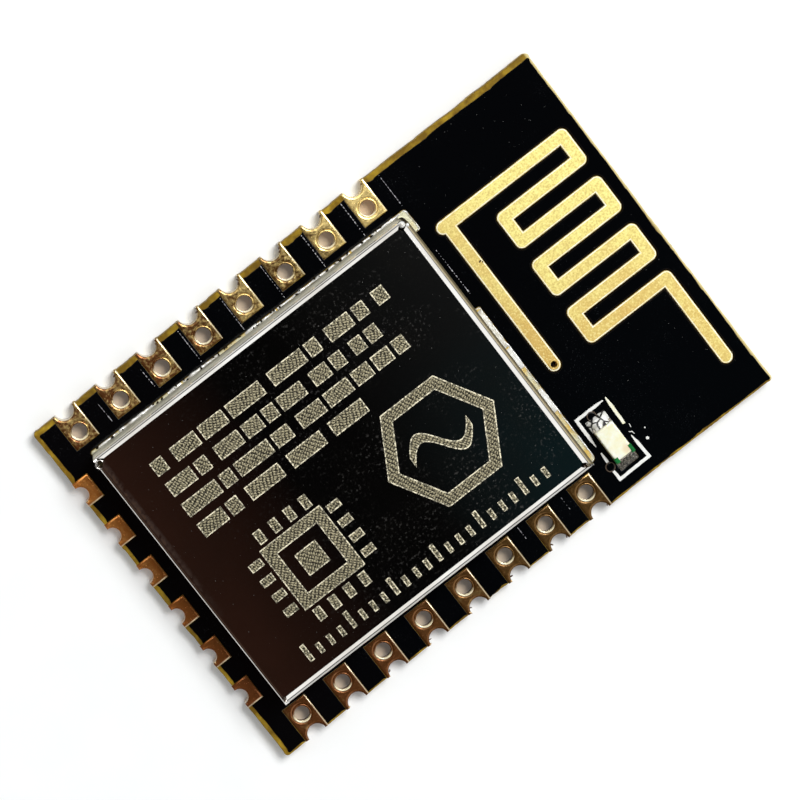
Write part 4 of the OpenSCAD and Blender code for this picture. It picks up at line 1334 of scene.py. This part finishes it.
class MODULE_OT_inside(ModuleOperator, bpy.types.Operator):
    """Finish the chips and small parts under the can"""
    bl_idname = "module.inside"
    bl_label = "Parts under the can"

    def make(self, scene):
        tinned = plain_finish("tinned_end", (0.7, 0.69, 0.66), (0.55, 0.54, 0.5), patch=0.2, roughness=0.35,
                              metallic=1.0)
        dress(tinned, "mcu_terminals", "flash_leads", "crystal_lid", "capacitor_ends", "resistor_ends",
              "inductor_ends")
        # Each case has two tones, the width of their patches, its roughness and the nodes that have it
        cases = (
            ("moulded_case", (0.03, 0.03, 0.032), (0.05, 0.05, 0.052), 0.3, 0.6, ("mcu_body", "flash_body")),
            ("fired_base", (0.22, 0.2, 0.17), (0.3, 0.27, 0.23), 0.2, 0.6, ("crystal_base",)),
            ("capacitor_clay", (0.5, 0.34, 0.2), (0.42, 0.28, 0.16), 0.15, 0.55, ("capacitor_bodies",)),
            ("resistor_glaze", (0.02, 0.02, 0.022), (0.05, 0.05, 0.05), 0.15, 0.3, ("resistor_bodies",)),
            ("inductor_clay", (0.16, 0.26, 0.45), (0.12, 0.2, 0.36), 0.15, 0.5, ("inductor_bodies",)),
        )
        for *look, nodes in cases:
            dress(plain_finish(*look), *nodes)


class MODULE_OT_stage(ModuleOperator, bpy.types.Operator):
    """Lay the pale floor, hang the lamps and set the camera"""
    bl_idname = "module.stage"
    bl_label = "Stage"

    def make(self, scene):
        stage = scene.stage_setup
        scene.view_settings.view_transform = "Standard"
        self.floor(stage)
        self.dark_card()
        self.sky(scene, stage)
        self.key_lamp(stage)
        self.camera(scene, stage)

    def flat(self, name, edges, height, faces):
        """A flat rectangle of the stage, brought to metres."""
        made = mesh_piece(name, [(x, y, height) for x, y in rectangle(*edges)], faces)
        made.data.transform(Matrix.Scale(MM, 4))
        return made

    def floor(self, stage):
        """Paper that glows a little to the eye, with painted shade under the board that makes it darker and
        browner there.
        """
        reach = 400.0
        floor = self.flat("paper_floor", (-reach, -reach, reach, reach), -0.01, [(0, 1, 2, 3)])
        paper = Finish("pale_paper", stage.floor, roughness=0.9)
        white = [min(1.0, c + 0.03) for c in stage.floor]
        tone = paper.mix(paper.noise(3.0, 4.0).ramp(0.3, 0.7), stage.floor, white)
        x, y, _ = paper.axes()
        # Painted shade under the board, seen only through its holes
        under = x.magnitude().ramp(11.5, 11.2) * y.magnitude().ramp(7.6, 7.3)
        paper.set(Base_Color=paper.mix(under, tone, (0.7, 0.57, 0.42)))
        path = paper.add("ShaderNodeLightPath")
        seen = path["Is Camera Ray"].larger(path["Is Glossy Ray"].larger(path["Is Transmission Ray"]))
        glow = paper.add("ShaderNodeEmission", Color=(1, 1, 1, 1), Strength=seen * 0.05)
        paper.surface(paper.add("ShaderNodeAddShader", Signal(paper, paper.shader), glow))
        floor.data.materials.append(paper.material)

    def dark_card(self):
        """A dark card overhead, seen only in reflections, that keeps the lid and mask deep."""
        black, brown = (0.0022, 0.002, 0.002), (0.032, 0.013, 0.0085)
        grey, teal = (0.0105, 0.0115, 0.012), (0.006, 0.016, 0.019)
        card = self.flat("dark_card", (-22, -24, 22, 8), 60.0, [(0, 3, 2, 1)])
        felt = Finish("dark_felt", black)
        x, y, _ = felt.axes()
        tone = felt.mix(x.ramp(-6, -13.5), black, brown)
        tone = felt.mix(x.ramp(-2, 8), tone, grey)
        tone = felt.mix(x.ramp(-1, 6) * y.ramp(-5, -14), tone, teal)
        felt.surface(felt.add("ShaderNodeEmission", Color=tone))
        card.data.materials.append(felt.material)
        for rays in ("camera", "diffuse", "shadow", "transmission"):
            setattr(card, "visible_" + rays, False)

    def sky(self, scene, stage):
        """White to the eye, even as light; in reflections dim low down, and dim and warm at the far side."""
        warm, cool = (1.0, 0.6, 0.42), (0.97, 0.99, 1.0)
        scene.world = bpy.data.worlds.new("studio")
        scene.world.use_nodes = True
        nodes = Nodes(scene.world.node_tree)
        way = nodes.add("ShaderNodeSeparateXYZ", nodes.add("ShaderNodeTexCoord")["Object"])
        bright = way["X"].ramp(-0.2, -0.08)
        mirrored = way["Z"].ramp(0.22, 0.45, 0.06) * bright.ramp(0.0, 1.0, 0.08, 1.6)
        path = nodes.add("ShaderNodeLightPath")
        level = path["Is Glossy Ray"].ramp(0.0, 1.0, stage.sky, mirrored)
        white = path["Is Glossy Ray"].ramp(0.0, 1.0, 1.0, bright)
        background = nodes.tree.nodes["Background"]
        nodes.feed(background.inputs["Strength"], path["Is Camera Ray"].ramp(0.0, 1.0, level, 1.0))
        nodes.feed(background.inputs["Color"], nodes.mix(white, warm, cool))

    def key_lamp(self, stage):
        lamp = bpy.data.lights.new("soft_key", "AREA")
        lamp.shape = "DISK"
        lamp.size = 130 * MM
        lamp.energy = stage.key_power
        key = linked("soft_key", lamp)
        key.location = Vector((128, 47, 267)) * MM
        aim = -key.location
        key.rotation_euler = aim.to_track_quat("-Z", "Y").to_euler()

    def camera(self, scene, stage):
        lens = bpy.data.cameras.new("camera")
        lens.lens = stage.focal
        lens.sensor_width = 36
        lens.clip_start = 0.005
        lens.clip_end = 5
        stand = Vector((-2.836, 18.617, 144.094)) * MM
        target = Vector((-0.037, 0.343, 0.8)) * MM
        back = (stand - target).normalized()
        right = Vector((0.7896, -0.6066, 0.0928)).normalized()
        turn = Matrix((right, back.cross(right), back)).transposed()
        scene.camera = linked("camera", lens)
        scene.camera.matrix_world = Matrix.Translation(stand) @ turn.to_4x4()


GROUPS = {
    "board_finish": BoardFinish, "pad_finish": PadFinish, "can_finish": CanFinish,
    "solder_finish": SolderFinish, "light_finish": LightFinish, "stage_setup": StageSetup,
}
OPERATORS = (
    MODULE_OT_board, MODULE_OT_pads, MODULE_OT_burrs, MODULE_OT_antenna, MODULE_OT_can, MODULE_OT_etching,
    MODULE_OT_solder, MODULE_OT_light, MODULE_OT_print, MODULE_OT_ridges, MODULE_OT_dust, MODULE_OT_inside,
    MODULE_OT_stage,
)


class MODULE_PT_looks(bpy.types.Panel):
    """Settings and steps of the module's looks"""
    bl_idname = "MODULE_PT_looks"
    bl_label = "Module looks"
    bl_space_type = "VIEW_3D"
    bl_region_type = "UI"
    bl_category = "Module"

    def draw(self, context):
        for name, group in GROUPS.items():
            box = self.layout.box()
            box.label(text=group.__doc__)
            for key in group.__annotations__:
                box.prop(getattr(context.scene, name), key)
        for operator in OPERATORS:
            self.layout.operator(operator.bl_idname)


def register():
    for group in GROUPS.values():
        bpy.utils.register_class(group)
    for name, group in GROUPS.items():
        setattr(bpy.types.Scene, name, PointerProperty(type=group))
    for operator in OPERATORS:
        bpy.utils.register_class(operator)
    bpy.utils.register_class(MODULE_PT_looks)


def unregister():
    bpy.utils.unregister_class(MODULE_PT_looks)
    for operator in reversed(OPERATORS):
        bpy.utils.unregister_class(operator)
    for name in GROUPS:
        delattr(bpy.types.Scene, name)
    for group in reversed(list(GROUPS.values())):
        bpy.utils.unregister_class(group)


def main():
    register()
    for operator in OPERATORS:
        family, step = operator.bl_idname.split(".")
        getattr(getattr(bpy.ops, family), step)()


if __name__ == "__main__":
    main()
